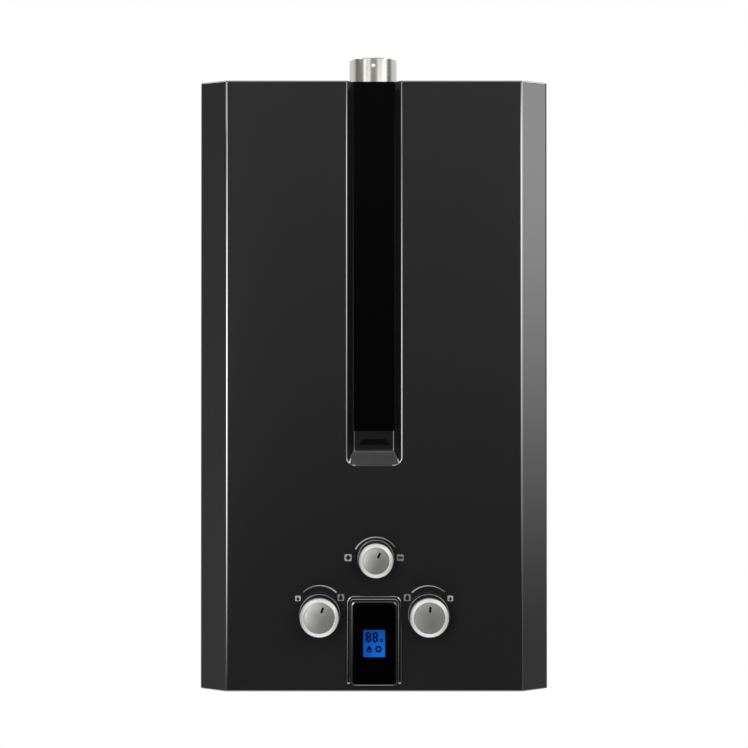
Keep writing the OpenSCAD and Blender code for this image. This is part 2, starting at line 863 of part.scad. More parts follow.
module flue_collar() {
  r = flue_od / 2;
  z0 = deck_z - spigot_h;
  bead_z = top_z + bead_rise;
  color("#b8babb") translate([0, flue_y, 0]) difference() {
    rotate_extrude() polygon([
      [r - flue_wall, z0], [r, z0], [r, deck_top_z], [r + collar_flange_w, deck_top_z],
      [r + collar_flange_w, deck_top_z + collar_flange_t], [r, deck_top_z + collar_flange_t],
      [r, bead_z - bead_out], [r + bead_out, bead_z], [r, bead_z + bead_out],
      [r, rim_z], [r - flue_wall, rim_z]
    ]);
    translate([0, 0, rim_z - duct_hole_drop]) rotate([90, 0, 0]) cylinder(h = flue_od, d = duct_hole_d);
    for (a = collar_screw_angles)
      rotate(a) translate([collar_screw_r, 0, deck_top_z - over])
        cylinder(h = collar_flange_t + 2 * over, d = screw_d + 2 * run_gap);
  }
}

module fan_scroll() {
  wall_x = scroll_in / 2 + duct_t;
  color("#a9abad") difference() {
    union() {
      along_y(scroll_back_y, scroll_in + 2 * duct_t) polygon(scroll_outline(duct_t, deck_z));
      bar([scroll_in / 2, flue_y, tap_z], [wall_x + nipple_l, flue_y, tap_z], nipple_r);
    }
    bar([0, flue_y, tap_z], [wall_x + nipple_l + over, flue_y, tap_z], nipple_r / 2);
    along_y(scroll_back_y - duct_t, scroll_in) polygon(scroll_outline(0, deck_z + over));
    // Inlet at the back and motor opening at the front
    translate([fan_x, scroll_back_y + over, fan_z]) rotate([90, 0, 0])
      cylinder(h = duct_t + 2 * over, r = fan_inlet_r);
    translate([fan_x, scroll_front_y + duct_t + over, fan_z]) rotate([90, 0, 0])
      cylinder(h = duct_t + 2 * over, r = 3 * shaft_r);
  }
}

module fan_impeller() {
  r = impeller_d / 2;
  disc_t = 1.5;
  blade_l = 10;
  blade_t = 0.8;
  color("#8f9294") translate([fan_x, flue_y + impeller_w / 2, fan_z]) rotate([90, 0, 0]) difference() {
    union() {
      translate([0, 0, impeller_w - disc_t]) cylinder(h = disc_t, r = r);
      difference() {
        cylinder(h = disc_t, r = r);
        translate([0, 0, -over]) cylinder(h = disc_t + 2 * over, r = r - blade_l);
      }
      for (i = [0 : blade_count - 1])
        rotate(i * 360 / blade_count) translate([r - blade_l + 0.5, -blade_t / 2, 0])
          cube([blade_l - 1, blade_t, impeller_w - disc_t / 2]);
      translate([0, 0, impeller_w / 2]) cylinder(h = impeller_w / 2, r = shaft_r + 3);
    }
    translate([0, 0, impeller_w / 2 - over]) cylinder(h = impeller_w, r = shaft_r + run_gap);
  }
}

module motor_rotor() {
  tail_y = scroll_front_y - motor_l - 3;
  core_l = motor_l - 2 * motor_wall - 6;
  core_y = scroll_front_y - motor_wall - 3;
  color("#777a7d") {
    bar([fan_x, tail_y, fan_z], [fan_x, flue_y, fan_z], shaft_r);
    bar([fan_x, core_y - core_l, fan_z], [fan_x, core_y, fan_z], motor_rotor_r);
  }
}

module fan_motor() {
  color("#3c4a5a") translate([fan_x, scroll_front_y, fan_z]) rotate([90, 0, 0]) difference() {
    cylinder(h = motor_l, d = motor_d);
    translate([0, 0, motor_wall]) cylinder(h = motor_l - 2 * motor_wall, d = motor_d - 2 * motor_wall);
    translate([0, 0, -over]) cylinder(h = motor_l + 2 * over, r = shaft_r + run_gap);
  }
}

module flue_hood() {
  half_w = chamber_w / 2;
  riser_top_z = fan_z + riser_half_w;
  color("#a4744c") difference() {
    union() {
      block([-half_w, chamber_front_y, fin_top_z], [half_w, chamber_back_y, hood_top_z]);
      block(
        [fan_x - riser_half_w, scroll_back_y, fin_top_z],
        [fan_x + riser_half_w, chamber_back_y, riser_top_z]
      );
    }
    block(
      [-half_w + duct_t, chamber_front_y + duct_t, fin_top_z - over],
      [half_w - duct_t, chamber_back_y - duct_t, hood_top_z - duct_t]
    );
    block(
      [max(fan_x - riser_half_w, -half_w) + duct_t, scroll_back_y + duct_t, fin_top_z],
      [fan_x + riser_half_w - duct_t, chamber_back_y - duct_t, riser_top_z - duct_t]
    );
    translate([fan_x, scroll_back_y + duct_t + over, fan_z]) rotate([90, 0, 0])
      cylinder(h = duct_t + 2 * over, r = fan_inlet_r);
  }
}

module chamber() {
  color("#b87848") difference() {
    shell(chamber_w / 2, chamber_back_y, chamber_front_y, burner_top_z, fin_top_z);
    for (i = [0 : tube_count - 1])
      translate([0, tube_row_y(i), tube_z]) rotate([0, 90, 0])
        cylinder(h = 2 * chamber_w, r = tube_r + fit_gap / 2, center = true);
    // Sight hole behind the flame window, and the electrodes' holes
    translate([0, chamber_front_y + 2 * over, window_z + window_h / 2]) rotate([90, 0, 0])
      cylinder(h = 4 * over, d = sight_d);
    for (x = electrode_xs)
      translate([x, chamber_front_y + 2 * over, electrode_z]) rotate([90, 0, 0])
        cylinder(h = 4 * over, d = electrode_d + fit_gap);
  }
}

module exchanger_fins() {
  room = chamber_w - 2 * duct_t - 2 * fin_pitch;
  count = floor(room / fin_pitch);
  start = -count * fin_pitch / 2;
  y0 = chamber_front_y + duct_t + fit_gap;
  y1 = chamber_back_y - duct_t - fit_gap;
  color("#c98a5a") difference() {
    for (i = [0 : count])
      block(
        [start + i * fin_pitch - fin_t / 2, y0, fin_top_z - fin_h],
        [start + i * fin_pitch + fin_t / 2, y1, fin_top_z]
      );
    for (i = [0 : tube_count - 1])
      translate([0, tube_row_y(i), tube_z]) rotate([0, 90, 0])
        cylinder(h = chamber_w, r = tube_r + run_gap, center = true);
  }
}

// Serpentine from the right-hand inlet at the front to the left-hand outlet at the back
module exchanger_tubes() {
  turn_x = tube_end_x + tube_pitch / 2;
  path = concat(
    [[tube_end_x, tube_row_y(0), tube_z]],
    [for (i = [0 : tube_count - 2], j = [0, 1])
      [(i % 2 == 0 ? -1 : 1) * turn_x, tube_row_y(i + j), tube_z]],
    [[-tube_end_x, tube_row_y(tube_count - 1), tube_z]]
  );
  color("#c07a48") pipe(path, tube_r, tube_wall, tube_pitch / 2);
}

module burner_frame() {
  half_w = chamber_w / 2;
  color("#8a8c8e") difference() {
    block([-half_w, chamber_front_y, burner_low_z], [half_w, chamber_back_y, burner_top_z]);
    block(
      [-half_w + duct_t, chamber_front_y + duct_t, burner_low_z + duct_t],
      [half_w - duct_t, chamber_back_y - duct_t, burner_top_z + over]
    );
    for (i = [0 : burner_count - 1])
      translate([burner_x(i), chamber_front_y + 2 * over, nozzle_z]) rotate([90, 0, 0])
        cylinder(h = 4 * over, d = nozzle_d + 2 * fit_gap);
    // Air slots in the floor between the blades
    for (i = [0 : burner_count - 2])
      translate([(burner_x(i) + burner_x(i + 1)) / 2, tube_mid_y, burner_low_z])
        cube([burner_pitch - burner_blade_t - 4, chamber_d * 0.7, 4 * over], center = true);
  }
}

function burner_x(i) = (i - (burner_count - 1) / 2) * burner_pitch;

module burner_blades() {
  y0 = chamber_front_y + 4;
  y1 = chamber_back_y - 4;
  slit_w = 2;
  color("#a6a8a6") for (i = [0 : burner_count - 1])
    translate([burner_x(i), 0, 0]) difference() {
      block([-burner_blade_t / 2, y0, burner_low_z + duct_t], [burner_blade_t / 2, y1, burner_top_z]);
      block(
        [duct_t - burner_blade_t / 2, y0 + duct_t, burner_low_z + 2 * duct_t],
        [burner_blade_t / 2 - duct_t, y1 - duct_t, burner_top_z - duct_t]
      );
      block([-slit_w / 2, y0 + 4, burner_top_z - 12], [slit_w / 2, y1 - 4, burner_top_z + over]);
      translate([0, y0 + 2 * over, nozzle_z]) rotate([90, 0, 0]) cylinder(h = 4 * over, d = nozzle_d - 1);
    }
}

module gas_manifold() {
  s = manifold_s / 2;
  color("#9c9ea0") difference() {
    block([-manifold_l / 2, manifold_y - s, nozzle_z - s], [manifold_l / 2, manifold_y + s, nozzle_z + s]);
    bar([4 - manifold_l / 2, manifold_y, nozzle_z], [manifold_l / 2 - 4, manifold_y, nozzle_z], s - 2);
    for (i = [0 : burner_count - 1])
      translate([burner_x(i), manifold_y + s + over, nozzle_z]) rotate([90, 0, 0])
        cylinder(h = s, d = nozzle_d / 2);
    translate([saver_x, manifold_y, nozzle_z - s - over]) cylinder(h = s, r = s - 3);
  }
}

module gas_nozzles() {
  color("#c9a54c") for (i = [0 : burner_count - 1])
    translate([burner_x(i), manifold_y + manifold_s / 2, nozzle_z]) rotate([-90, 0, 0]) difference() {
      cylinder(h = nozzle_l + 2, d = nozzle_d);
      translate([0, 0, -over]) cylinder(h = nozzle_l + 2 + 2 * over, r = 0.8);
    }
}

module saver_valve_body() {
  z = saver_at[1];
  neck_top_z = nozzle_z - manifold_s / 2;
  color("#b0b2b4") difference() {
    union() {
      block(
        [saver_x - saver_half, saver_front_y, z - saver_half_h],
        [saver_x + saver_half, saver_back_y, z + saver_half_h]
      );
      translate([saver_x, manifold_y, z]) cylinder(h = neck_top_z - z, d = manifold_s);
    }
    at_knob(saver_at, saver_front_y + plug_l) cylinder(h = plug_l + over, r = plug_r);
    translate([saver_x, manifold_y, z]) cylinder(h = neck_top_z - z + over, r = manifold_s / 2 - 3);
    bar([saver_x - saver_half - over, feed_y, z], [saver_x, feed_y, z], tube_r - tube_wall);
    bar([saver_x, feed_y, z], [saver_x, saver_front_y + plug_l - over, z], 4);
  }
}

module gas_feed_pipe() {
  z = saver_at[1];
  color("#b9bbbd") pipe(
    [[gas_x, feed_y, valve_top_z], [gas_x, feed_y, z], [saver_x - saver_half, feed_y, z]],
    tube_r, tube_wall, bend_r
  );
}

module gas_valve_body() {
  color("#b4b6b8") difference() {
    union() {
      block([valve_left_x, valve_front_y, valve_low_z], [valve_right_x, valve_back_y, valve_top_z]);
      // Arm that carries the microswitch
      block(
        [gas_x, rod_y - lever_w, valve_top_z - arm_t],
        [micro_x + micro_l, rod_y + lever_w, valve_top_z]
      );
    }
    at_knob(gas_at, valve_front_y + plug_l) cylinder(h = plug_l + over, r = plug_r);
    // Poppet chamber, seat and rod guide
    bar([valve_left_x - over, rod_y, valve_z], [seat_x, rod_y, valve_z], poppet_room_r);
    bar([seat_x - over, rod_y, valve_z], [seat_x + seat_l, rod_y, valve_z], seat_r);
    bar([seat_x, rod_y, valve_z], [valve_right_x + over, rod_y, valve_z], rod_r + run_gap);
    // Inlet from below, passage to the plug, outlet above
    bar([gas_x, rod_y, valve_low_z - over], [gas_x, rod_y, valve_z], port_d / 2);
    bar(
      [seat_mid_x, rod_y, valve_z],
      [seat_mid_x, valve_front_y + plug_l - over, valve_z],
      seat_l / 2 - over / 2
    );
    bar([gas_x, feed_y, valve_z], [gas_x, feed_y, valve_top_z + over], tube_r - tube_wall);
  }
}

module gas_valve_cap() {
  cap_l = 5;
  color("#a2a4a6")
    bar([valve_left_x - cap_l, rod_y, valve_z], [valve_left_x, rod_y, valve_z], poppet_room_r + 4);
}

// Helical compression spring between the valve cap and the poppet
spring_sides = 6;
spring_rings = 12;
spring_x0 = valve_left_x + fit_gap + spring_wire_d / 2;
spring_l = spring_room_l - 2 * fit_gap - spring_wire_d;
spring_steps = spring_turns * spring_rings;
spring_path = [for (i = [0 : spring_steps])
  let (a = 360 * i / spring_rings, r = spring_d / 2)
  [spring_x0 + spring_l * i / spring_steps, rod_y + r * cos(a), valve_z + r * sin(a)]];
spring_gap = min([for (i = [0 : spring_steps], j = [i + ceil(spring_rings / 2) : 1 : spring_steps])
  norm(spring_path[j] - spring_path[i])]) - spring_wire_d;
echo(spring_least_gap = spring_gap);

module valve_spring() {
  points = [for (i = [0 : spring_steps], k = [0 : spring_sides - 1])
    let (a = 360 * i / spring_rings, b = 360 * k / spring_sides, c = spring_path[i])
    c + spring_wire_d / 2 * [sin(b), cos(b) * cos(a), cos(b) * sin(a)]];
  sides = [for (i = [0 : spring_steps - 1], k = [0 : spring_sides - 1])
    let (k2 = (k + 1) % spring_sides, p = i * spring_sides, q = p + spring_sides)
    each [[p + k, q + k2, p + k2], [p + k, q + k, q + k2]]];
  last = spring_steps * spring_sides;
  ends = [for (k = [1 : spring_sides - 2]) each [[0, k, k + 1], [last, last + k + 1, last + k]]];
  color("#8e9092") polyhedron(points, concat(sides, ends));
}

module push_rod() {
  plate_x = cover_x - fit_gap;
  color("#b3b5b7") {
    bar([poppet_x, rod_y, valve_z], [plate_x, rod_y, valve_z], rod_r);
    bar([poppet_x, rod_y, valve_z], [poppet_x + poppet_t, rod_y, valve_z], poppet_r);
    bar([0, rod_y, valve_z], [collar_l, rod_y, valve_z], collar_r);
    bar([plate_x - plate_l, rod_y, valve_z], [plate_x, rod_y, valve_z], plate_r);
  }
}

module diaphragm() {
  color("#26221f") bar([cover_x, rod_y, valve_z], [flange_x0, rod_y, valve_z], diaphragm_d / 2);
}

module diaphragm_cover() {
  color("#c3a35a") difference() {
    bar([cover_left_x, rod_y, valve_z], [cover_x, rod_y, valve_z], diaphragm_d / 2);
    bar([cover_left_x + cover_wall, rod_y, valve_z], [cover_x + over, rod_y, valve_z], cavity_r);
    bar([cover_left_x - over, rod_y, valve_z], [cover_x, rod_y, valve_z], rod_r + run_gap);
  }
}

module water_valve_body() {
  color("#c3a35a") difference() {
    union() {
      block([water_left_x, valve_front_y, valve_low_z], [water_right_x, valve_back_y, valve_top_z]);
      bar([flange_x0, rod_y, valve_z], [water_left_x + over, rod_y, valve_z], diaphragm_d / 2);
    }
    bar([flange_x0 - over, rod_y, valve_z], [flange_x0 + 6, rod_y, valve_z], cavity_r);
    at_knob(water_at, valve_front_y + plug_l) cylinder(h = plug_l + over, r = plug_r);
    // Inlet from below, ways to the plug and the diaphragm, outlet on the right
    bar([water_x, rod_y, valve_low_z - over], [water_x, rod_y, valve_z], port_d / 2);
    bar([flange_x0, rod_y, valve_z], [water_x, rod_y, valve_z], 4);
    bar([water_x, rod_y, valve_z], [water_x, valve_front_y + plug_l - over, valve_z], 4);
    bar(
      [water_right_x + over, tube_row_y(0), riser_port_z],
      [water_x, tube_row_y(0), riser_port_z],
      tube_r - tube_wall
    );
  }
}

// Hexagonal gland nuts that hold the spindles in their valves
module gland_nuts() {
  nut_l = 7;
  places = [[gas_at, valve_front_y], [water_at, valve_front_y], [saver_at, saver_front_y]];
  color("#bda055") for (place = places)
    at_knob(place[0], place[1]) difference() {
      cylinder(h = nut_l, r = plug_r + 4, $fn = 6);
      translate([0, 0, -over]) cylinder(h = nut_l + 2 * over, d = spindle_d + 2 * run_gap);
    }
}

solenoid_x = gas_x - valve_s / 4;
plunger_r = solenoid_d / 4;
plunger_l = solenoid_h - 2 * motor_wall - plunger_travel - 2 * fit_gap;

module solenoid_coil() {
  color("#5b3a34") translate([solenoid_x, rod_y, valve_top_z]) difference() {
    cylinder(h = solenoid_h, d = solenoid_d);
    translate([0, 0, motor_wall]) cylinder(h = solenoid_h - 2 * motor_wall, r = plunger_r + run_gap);
  }
}

module solenoid_plunger() {
  color("#8b8e91") translate([solenoid_x, rod_y, valve_top_z + motor_wall + fit_gap])
    cylinder(h = plunger_l, r = plunger_r);
}

module microswitch() {
  ear_low_z = pin_z - 2 * lever_pin_r;
  half = lever_w / 2 + ear_gap + ear_t;
  color("#1c1d20") difference() {
    union() {
      block([micro_x, rod_y - half, micro_low_z], [micro_x + micro_l, rod_y + half, valve_top_z - arm_t]);
      for (sy = [-1, 1])
        translate([lever_x, rod_y + sy * (half - ear_t / 2), (ear_low_z + micro_low_z) / 2])
          cube([5, ear_t, micro_low_z - ear_low_z], center = true);
    }
    bar(
      [lever_x, rod_y - half - over, pin_z],
      [lever_x, rod_y + half + over, pin_z],
      lever_pin_r + run_gap
    );
  }
}

module switch_lever() {
  half = lever_w / 2 + ear_gap + ear_t;
  color("#b5b7b9") {
    bar([lever_x, rod_y - half, pin_z], [lever_x, rod_y + half, pin_z], lever_pin_r);
    block(
      [lever_x - lever_t / 2, rod_y - lever_w / 2, lever_low_z],
      [lever_x + lever_t / 2, rod_y + lever_w / 2, pin_z + lever_pin_r]
    );
  }
}

module riser_pipe() {
  y = tube_row_y(0);
  color("#c07a48") pipe(
    [
      [water_right_x, y, riser_port_z], [riser_x, y, riser_port_z],
      [riser_x, y, tube_z], [tube_end_x, y, tube_z]
    ],
    tube_r, tube_wall, bend_r
  );
}

module hot_pipe() {
  y = tube_row_y(tube_count - 1);
  step_z = valve_top_z;
  color("#c07a48") pipe(
    [
      [-tube_end_x, y, tube_z], [hot_at, y, tube_z], [hot_at, y, step_z],
      [hot_at, rod_y, step_z], [hot_at, rod_y, barrel_top_z]
    ],
    tube_r, tube_wall, bend_r
  );
}

// Threaded barrels that pass through the bottom plate, with a hexagon below it
module pipe_fittings() {
  color("#c8a850") for (x = connection_xs)
    translate([x, rod_y, 0]) difference() {
      union() {
        translate([0, 0, stub_z]) cylinder(h = barrel_top_z - stub_z, d = thread_d);
        translate([0, 0, floor_low_z - hexagon_t]) cylinder(h = hexagon_t, d = nut_af / cos(30), $fn = 6);
      }
      translate([0, 0, stub_z - over]) cylinder(h = barrel_top_z - stub_z + 2 * over, d = port_d - 4);
    }
}

module pipe_nuts() {
  color("#c8a850") for (x = connection_xs)
    translate([x, rod_y, floor_z]) difference() {
      cylinder(h = nut_t, d = nut_af / cos(30), $fn = 6);
      translate([0, 0, -over]) cylinder(h = nut_t + 2 * over, d = thread_d + 2 * run_gap);
    }
}

module cord_gland() {
  inner_h = 8;
  lock_h = 4;
  color("#1a1a1c") translate([gland_x, rod_y, 0]) difference() {
    union() {
      translate([0, 0, floor_low_z - gland_head_h]) cylinder(h = gland_head_h, r = gland_head_r);
      translate([0, 0, floor_low_z - over]) cylinder(h = plate_t + inner_h + over, r = gland_r);
      translate([0, 0, floor_z]) cylinder(h = lock_h, r = gland_head_r);
    }
    translate([0, 0, floor_low_z - gland_head_h - over])
      cylinder(h = gland_head_h + plate_t + inner_h + 2 * over, d = gland_bore_d);
  }
}

control_gap = 2;
control_rise = 26;
control_x1 = side_x - screw_l - control_gap;
control_z0 = low_z + control_rise;

module control_box() {
  wall = 1.6;
  low = [control_x1 - control_w, plate_y - control_d, control_z0];
  high = [control_x1, plate_y, control_z0 + control_h];
  color("#d9d9d4") difference() {
    block(low, high);
    block(low + wall * [1, 1, 1], high - wall * [1, 1, 1]);
  }
}

switch_at = [side_x - switch_d / 2 - 20, hood_top_z];
nipple_l = 10;
nipple_r = hose_d / 4 - run_gap;
tap_z = deck_z - 2 * spigot_h;

module pressure_switch() {
  color("#e0ddd2") translate([switch_at[0], plate_y, switch_at[1]]) rotate([90, 0, 0]) {
    cylinder(h = switch_t, d = switch_d);
    cylinder(h = switch_t + nipple_l, r = nipple_r);
  }
}

// Hose pushed over the nipples of the pressure switch and of the fan's outlet
module pressure_hose() {
  start_y = plate_y - switch_t;
  color("#b9463c") pipe(
    [
      [switch_at[0], start_y, switch_at[1]], [switch_at[0], flue_y, switch_at[1]],
      [switch_at[0], flue_y, tap_z], [scroll_in / 2 + duct_t, flue_y, tap_z]
    ],
    hose_d / 2, hose_d / 4, bend_r
  );
}

module electrodes() {
  outer_l = 16;
  inner_l = 8;
  wire_l = 18;
  flange_t = 3;
  color("#e8e4da") for (x = electrode_xs) translate([x, chamber_front_y, electrode_z]) rotate([90, 0, 0]) {
    translate([0, 0, -inner_l]) cylinder(h = inner_l + outer_l, d = electrode_d);
    translate([0, 0, -inner_l - wire_l]) cylinder(h = wire_l + over, d = electrode_d / 4);
    cylinder(h = flange_t, d = 2 * electrode_d);
  }
}

module thermal_cutout() {
  can_l = 8;
  can_d = 16;
  x = -chamber_w / 2;
  color("#bfc1c3") bar([x, tube_mid_y, tube_z - fin_h], [x - can_l, tube_mid_y, tube_z - fin_h], can_d / 2);
}

module drain_plug() {
  head_h = 8;
  color("#c3a35a") translate([drain_x, feed_y, 0]) {
    translate([0, 0, floor_low_z - over]) cylinder(h = valve_low_z - floor_low_z + over, d = drain_d);
    translate([0, 0, floor_low_z - head_h]) cylinder(h = head_h, d = drain_head_d);
  }
}

// Pan-head screws of the cover's sides and of the collar's flange
module screws() {
  color("#3a3a3c") {
    for (sx = [-1, 1], z = screw_zs) {
      bar([sx * side_x, screw_y, z], [sx * (side_x + screw_head_t), screw_y, z], screw_head_d / 2);
      bar([sx * (side_x + over), screw_y, z], [sx * (side_x - screw_l), screw_y, z], screw_d / 2);
    }
    for (a = collar_screw_angles) translate([0, flue_y, 0]) rotate(a) translate([collar_screw_r, 0, 0]) {
      z = deck_top_z + collar_flange_t;
      translate([0, 0, z]) cylinder(h = screw_head_t, d = screw_head_d);
      translate([0, 0, z - screw_l]) cylinder(h = screw_l + over, d = screw_d);
    }
  }
}

back_plate();
top_plate();
bottom_plate();
front_cover();
gloss_strip();
window_pane();
display_bezel();
display_lens();
lcd_panel();
display_housing();
display_board();
knob_rings();
gas_knob();
gas_knob_cap();
gas_spindle();
saver_knob();
saver_knob_cap();
saver_spindle();
water_knob();
water_knob_cap();
water_spindle();
flue_collar();
fan_scroll();
fan_impeller();
motor_rotor();
fan_motor();
flue_hood();
chamber();
exchanger_fins();
exchanger_tubes();
burner_frame();
burner_blades();
gas_manifold();
gas_nozzles();
saver_valve_body();
gas_feed_pipe();
gas_valve_body();
gas_valve_cap();
valve_spring();
push_rod();
diaphragm();
diaphragm_cover();
water_valve_body();
gland_nuts();
solenoid_coil();
solenoid_plunger();
microswitch();
switch_lever();
riser_pipe();
hot_pipe();
pipe_fittings();
pipe_nuts();
cord_gland();
control_box();
pressure_switch();
pressure_hose();
electrodes();
thermal_cutout();
drain_plug();
screws();
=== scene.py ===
"""Looks of a wall-hung gas water heater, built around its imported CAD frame.

The CAD nodes keep their places. Pieces whose edges are softer than the solids' edges,
such as the folded cover, the turned knob caps and the moulded display, are modelled
here and stand for their nodes. Lengths are millimetres until a mesh is finished.
"""

import json
import logging
import math
from dataclasses import dataclass, field
from enum import Enum
from typing import Iterable, Sequence

import bmesh
import bpy
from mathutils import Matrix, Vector

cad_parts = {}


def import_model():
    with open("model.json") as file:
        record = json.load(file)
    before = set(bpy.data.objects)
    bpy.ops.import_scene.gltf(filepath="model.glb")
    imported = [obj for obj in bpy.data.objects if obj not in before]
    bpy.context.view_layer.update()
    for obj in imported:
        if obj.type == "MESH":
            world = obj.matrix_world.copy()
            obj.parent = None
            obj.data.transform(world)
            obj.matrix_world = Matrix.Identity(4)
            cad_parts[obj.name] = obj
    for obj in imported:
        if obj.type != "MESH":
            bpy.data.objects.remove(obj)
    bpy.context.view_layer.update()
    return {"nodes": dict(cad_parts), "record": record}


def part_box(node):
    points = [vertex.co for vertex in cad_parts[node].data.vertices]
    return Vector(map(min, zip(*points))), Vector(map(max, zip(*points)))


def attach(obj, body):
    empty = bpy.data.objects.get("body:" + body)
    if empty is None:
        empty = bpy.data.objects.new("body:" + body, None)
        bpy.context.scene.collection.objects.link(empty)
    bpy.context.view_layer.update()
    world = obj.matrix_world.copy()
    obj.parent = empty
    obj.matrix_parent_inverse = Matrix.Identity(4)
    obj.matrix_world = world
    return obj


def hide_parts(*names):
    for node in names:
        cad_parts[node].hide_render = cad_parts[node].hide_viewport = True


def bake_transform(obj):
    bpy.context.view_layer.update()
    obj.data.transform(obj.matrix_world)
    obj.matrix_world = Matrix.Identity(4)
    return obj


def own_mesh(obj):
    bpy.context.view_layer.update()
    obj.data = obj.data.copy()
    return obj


LOG = logging.getLogger("water_heater")

MM = 0.001
CASE_BODY = "case"
# How far a print or a trim is sunk into what it lies on, in millimetres.
SINK = 0.02

Point2 = tuple[float, float]
Point3 = tuple[float, float, float]
Tree = bpy.types.NodeTree
Socket = bpy.types.NodeSocket
Piece = bpy.types.Object
Value = float | Socket


def linear(code: str) -> tuple[float, float, float, float]:
    """Turns an sRGB hex colour to linear light.

    Args:
        code: six hex digits after a hash sign.

    Returns:
        Red, green, blue and alpha for a shader socket.
    """
    levels = [int(code[i : i + 2], 16) / 255 for i in (1, 3, 5)]
    red, green, blue = (
        v / 12.92 if v <= 0.04045 else ((v + 0.055) / 1.055) ** 2.4 for v in levels
    )
    return red, green, blue, 1.0


def add_node(
    tree: Tree,
    kind: str,
    inputs: dict[str | int, object] | None = None,
    **settings: object,
) -> bpy.types.Node:
    """Adds a node with its settings, values and links.

    Args:
        tree: the node tree to add to.
        kind: the node's type name.
        inputs: a value, or a socket to link from, for each named or numbered input.
        **settings: attributes to set on the node.

    Returns:
        The new node.
    """
    node = tree.nodes.new(kind)
    for key, value in settings.items():
        setattr(node, key, value)
    for key, value in (inputs or {}).items():
        if isinstance(value, Socket):
            tree.links.new(value, node.inputs[key])
        else:
            node.inputs[key].default_value = value
    return node


def surface(tree: Tree, inputs: dict[str | int, object]) -> None:
    """Ends a material's tree with one Principled surface."""
    shader = add_node(tree, "ShaderNodeBsdfPrincipled", inputs)
    add_node(tree, "ShaderNodeOutputMaterial", {"Surface": shader.outputs["BSDF"]})


def mix_colours(tree: Tree, share: Socket, first: str, second: str) -> Socket:
    """Mixes two sRGB hex colours by a share and gives the result's socket."""
    inputs = {0: share, 6: linear(first), 7: linear(second)}
    return add_node(tree, "ShaderNodeMix", inputs, data_type="RGBA").outputs[2]


def mix_values(tree: Tree, share: Socket, first: Value, second: Value) -> Socket:
    """Mixes two values by a share and gives the result's socket."""
    inputs = {0: share, 2: first, 3: second}
    return add_node(tree, "ShaderNodeMix", inputs, data_type="FLOAT").outputs[0]


def combine(tree: Tree, operation: str, first: Value, second: Value) -> Socket:
    """Works a named operation on two values and gives the result's socket."""
    inputs = {0: first, 1: second}
    return add_node(tree, "ShaderNodeMath", inputs, operation=operation).outputs[0]


def ramp(tree: Tree, value: Socket, start: Point2, end: Point2, kind: str = "LINEAR") -> Socket:
    """Runs a value along a ramp that stays level past its ends.

    Args:
        tree: the node tree to add to.
        value: what runs along the ramp.
        start: the value and the result where the ramp starts.
        end: the value and the result where it ends.
        kind: LINEAR or SMOOTHSTEP.

    Returns:
        The result's socket.
    """
    inputs = {
        "Value": value, "From Min": start[0], "From Max": end[0], "To Min": start[1],
        "To Max": end[1],
    }
    node = add_node(tree, "ShaderNodeMapRange", inputs, interpolation_type=kind)
    return node.outputs["Result"]


def object_coords(tree: Tree, move: Sequence[float], scale: Sequence[float]) -> Socket:
    """Scales Object coordinates, moves them and gives the result's socket."""
    coords = add_node(tree, "ShaderNodeTexCoord")
    inputs = {"Vector": coords.outputs["Object"], "Location": move, "Scale": scale}
    return add_node(tree, "ShaderNodeMapping", inputs).outputs["Vector"]


def box_mm(node: str) -> tuple[Vector, Vector]:
    """Gives a CAD node's corners.

    Args:
        node: the node's name.

    Returns:
        The lowest and the highest corner, in millimetres.
    """
    low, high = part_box(node)
    return low / MM, high / MM


def smooth_min(a: float, b: float, k: float) -> float:
    """Gives the lesser of a and b, with their meeting rounded over a width of k."""
    return min(a, b) - max(k - abs(a - b), 0.0) ** 2 / (4 * k)


def smooth_max(a: float, b: float, k: float) -> float:
    """Gives the greater of a and b, with their meeting rounded over a width of k."""
    return -smooth_min(-a, -b, k)


def span(start: float, end: float, step: float) -> list[float]:
    """Lists even values from start to end, both included, about a step apart."""
    count = max(1, round(abs(end - start) / step))
    return [start + (end - start) * i / count for i in range(count + 1)]


class Pattern(Enum):
    """Ways a surface was made, each with a grain of its own."""

    MOULDED = "fine even texture of a spark-eroded mould"
    STOVED = "orange peel of stoved enamel"
    DRAWN = "lines along the height, from drawing or rolling"
    ROLLED = "lines along the width, from rolling"
    TURNED = "rings about the piece's own axis, from turning"
    SPANGLED = "crystals of hot-dip zinc"
    CAST = "coarse skin of a die casting"


# How far the patterns that run one way draw out their grain.
STRETCH: dict[Pattern, Point3] = {Pattern.DRAWN: (1, 1, 0.02), Pattern.ROLLED: (0.02, 1, 1)}


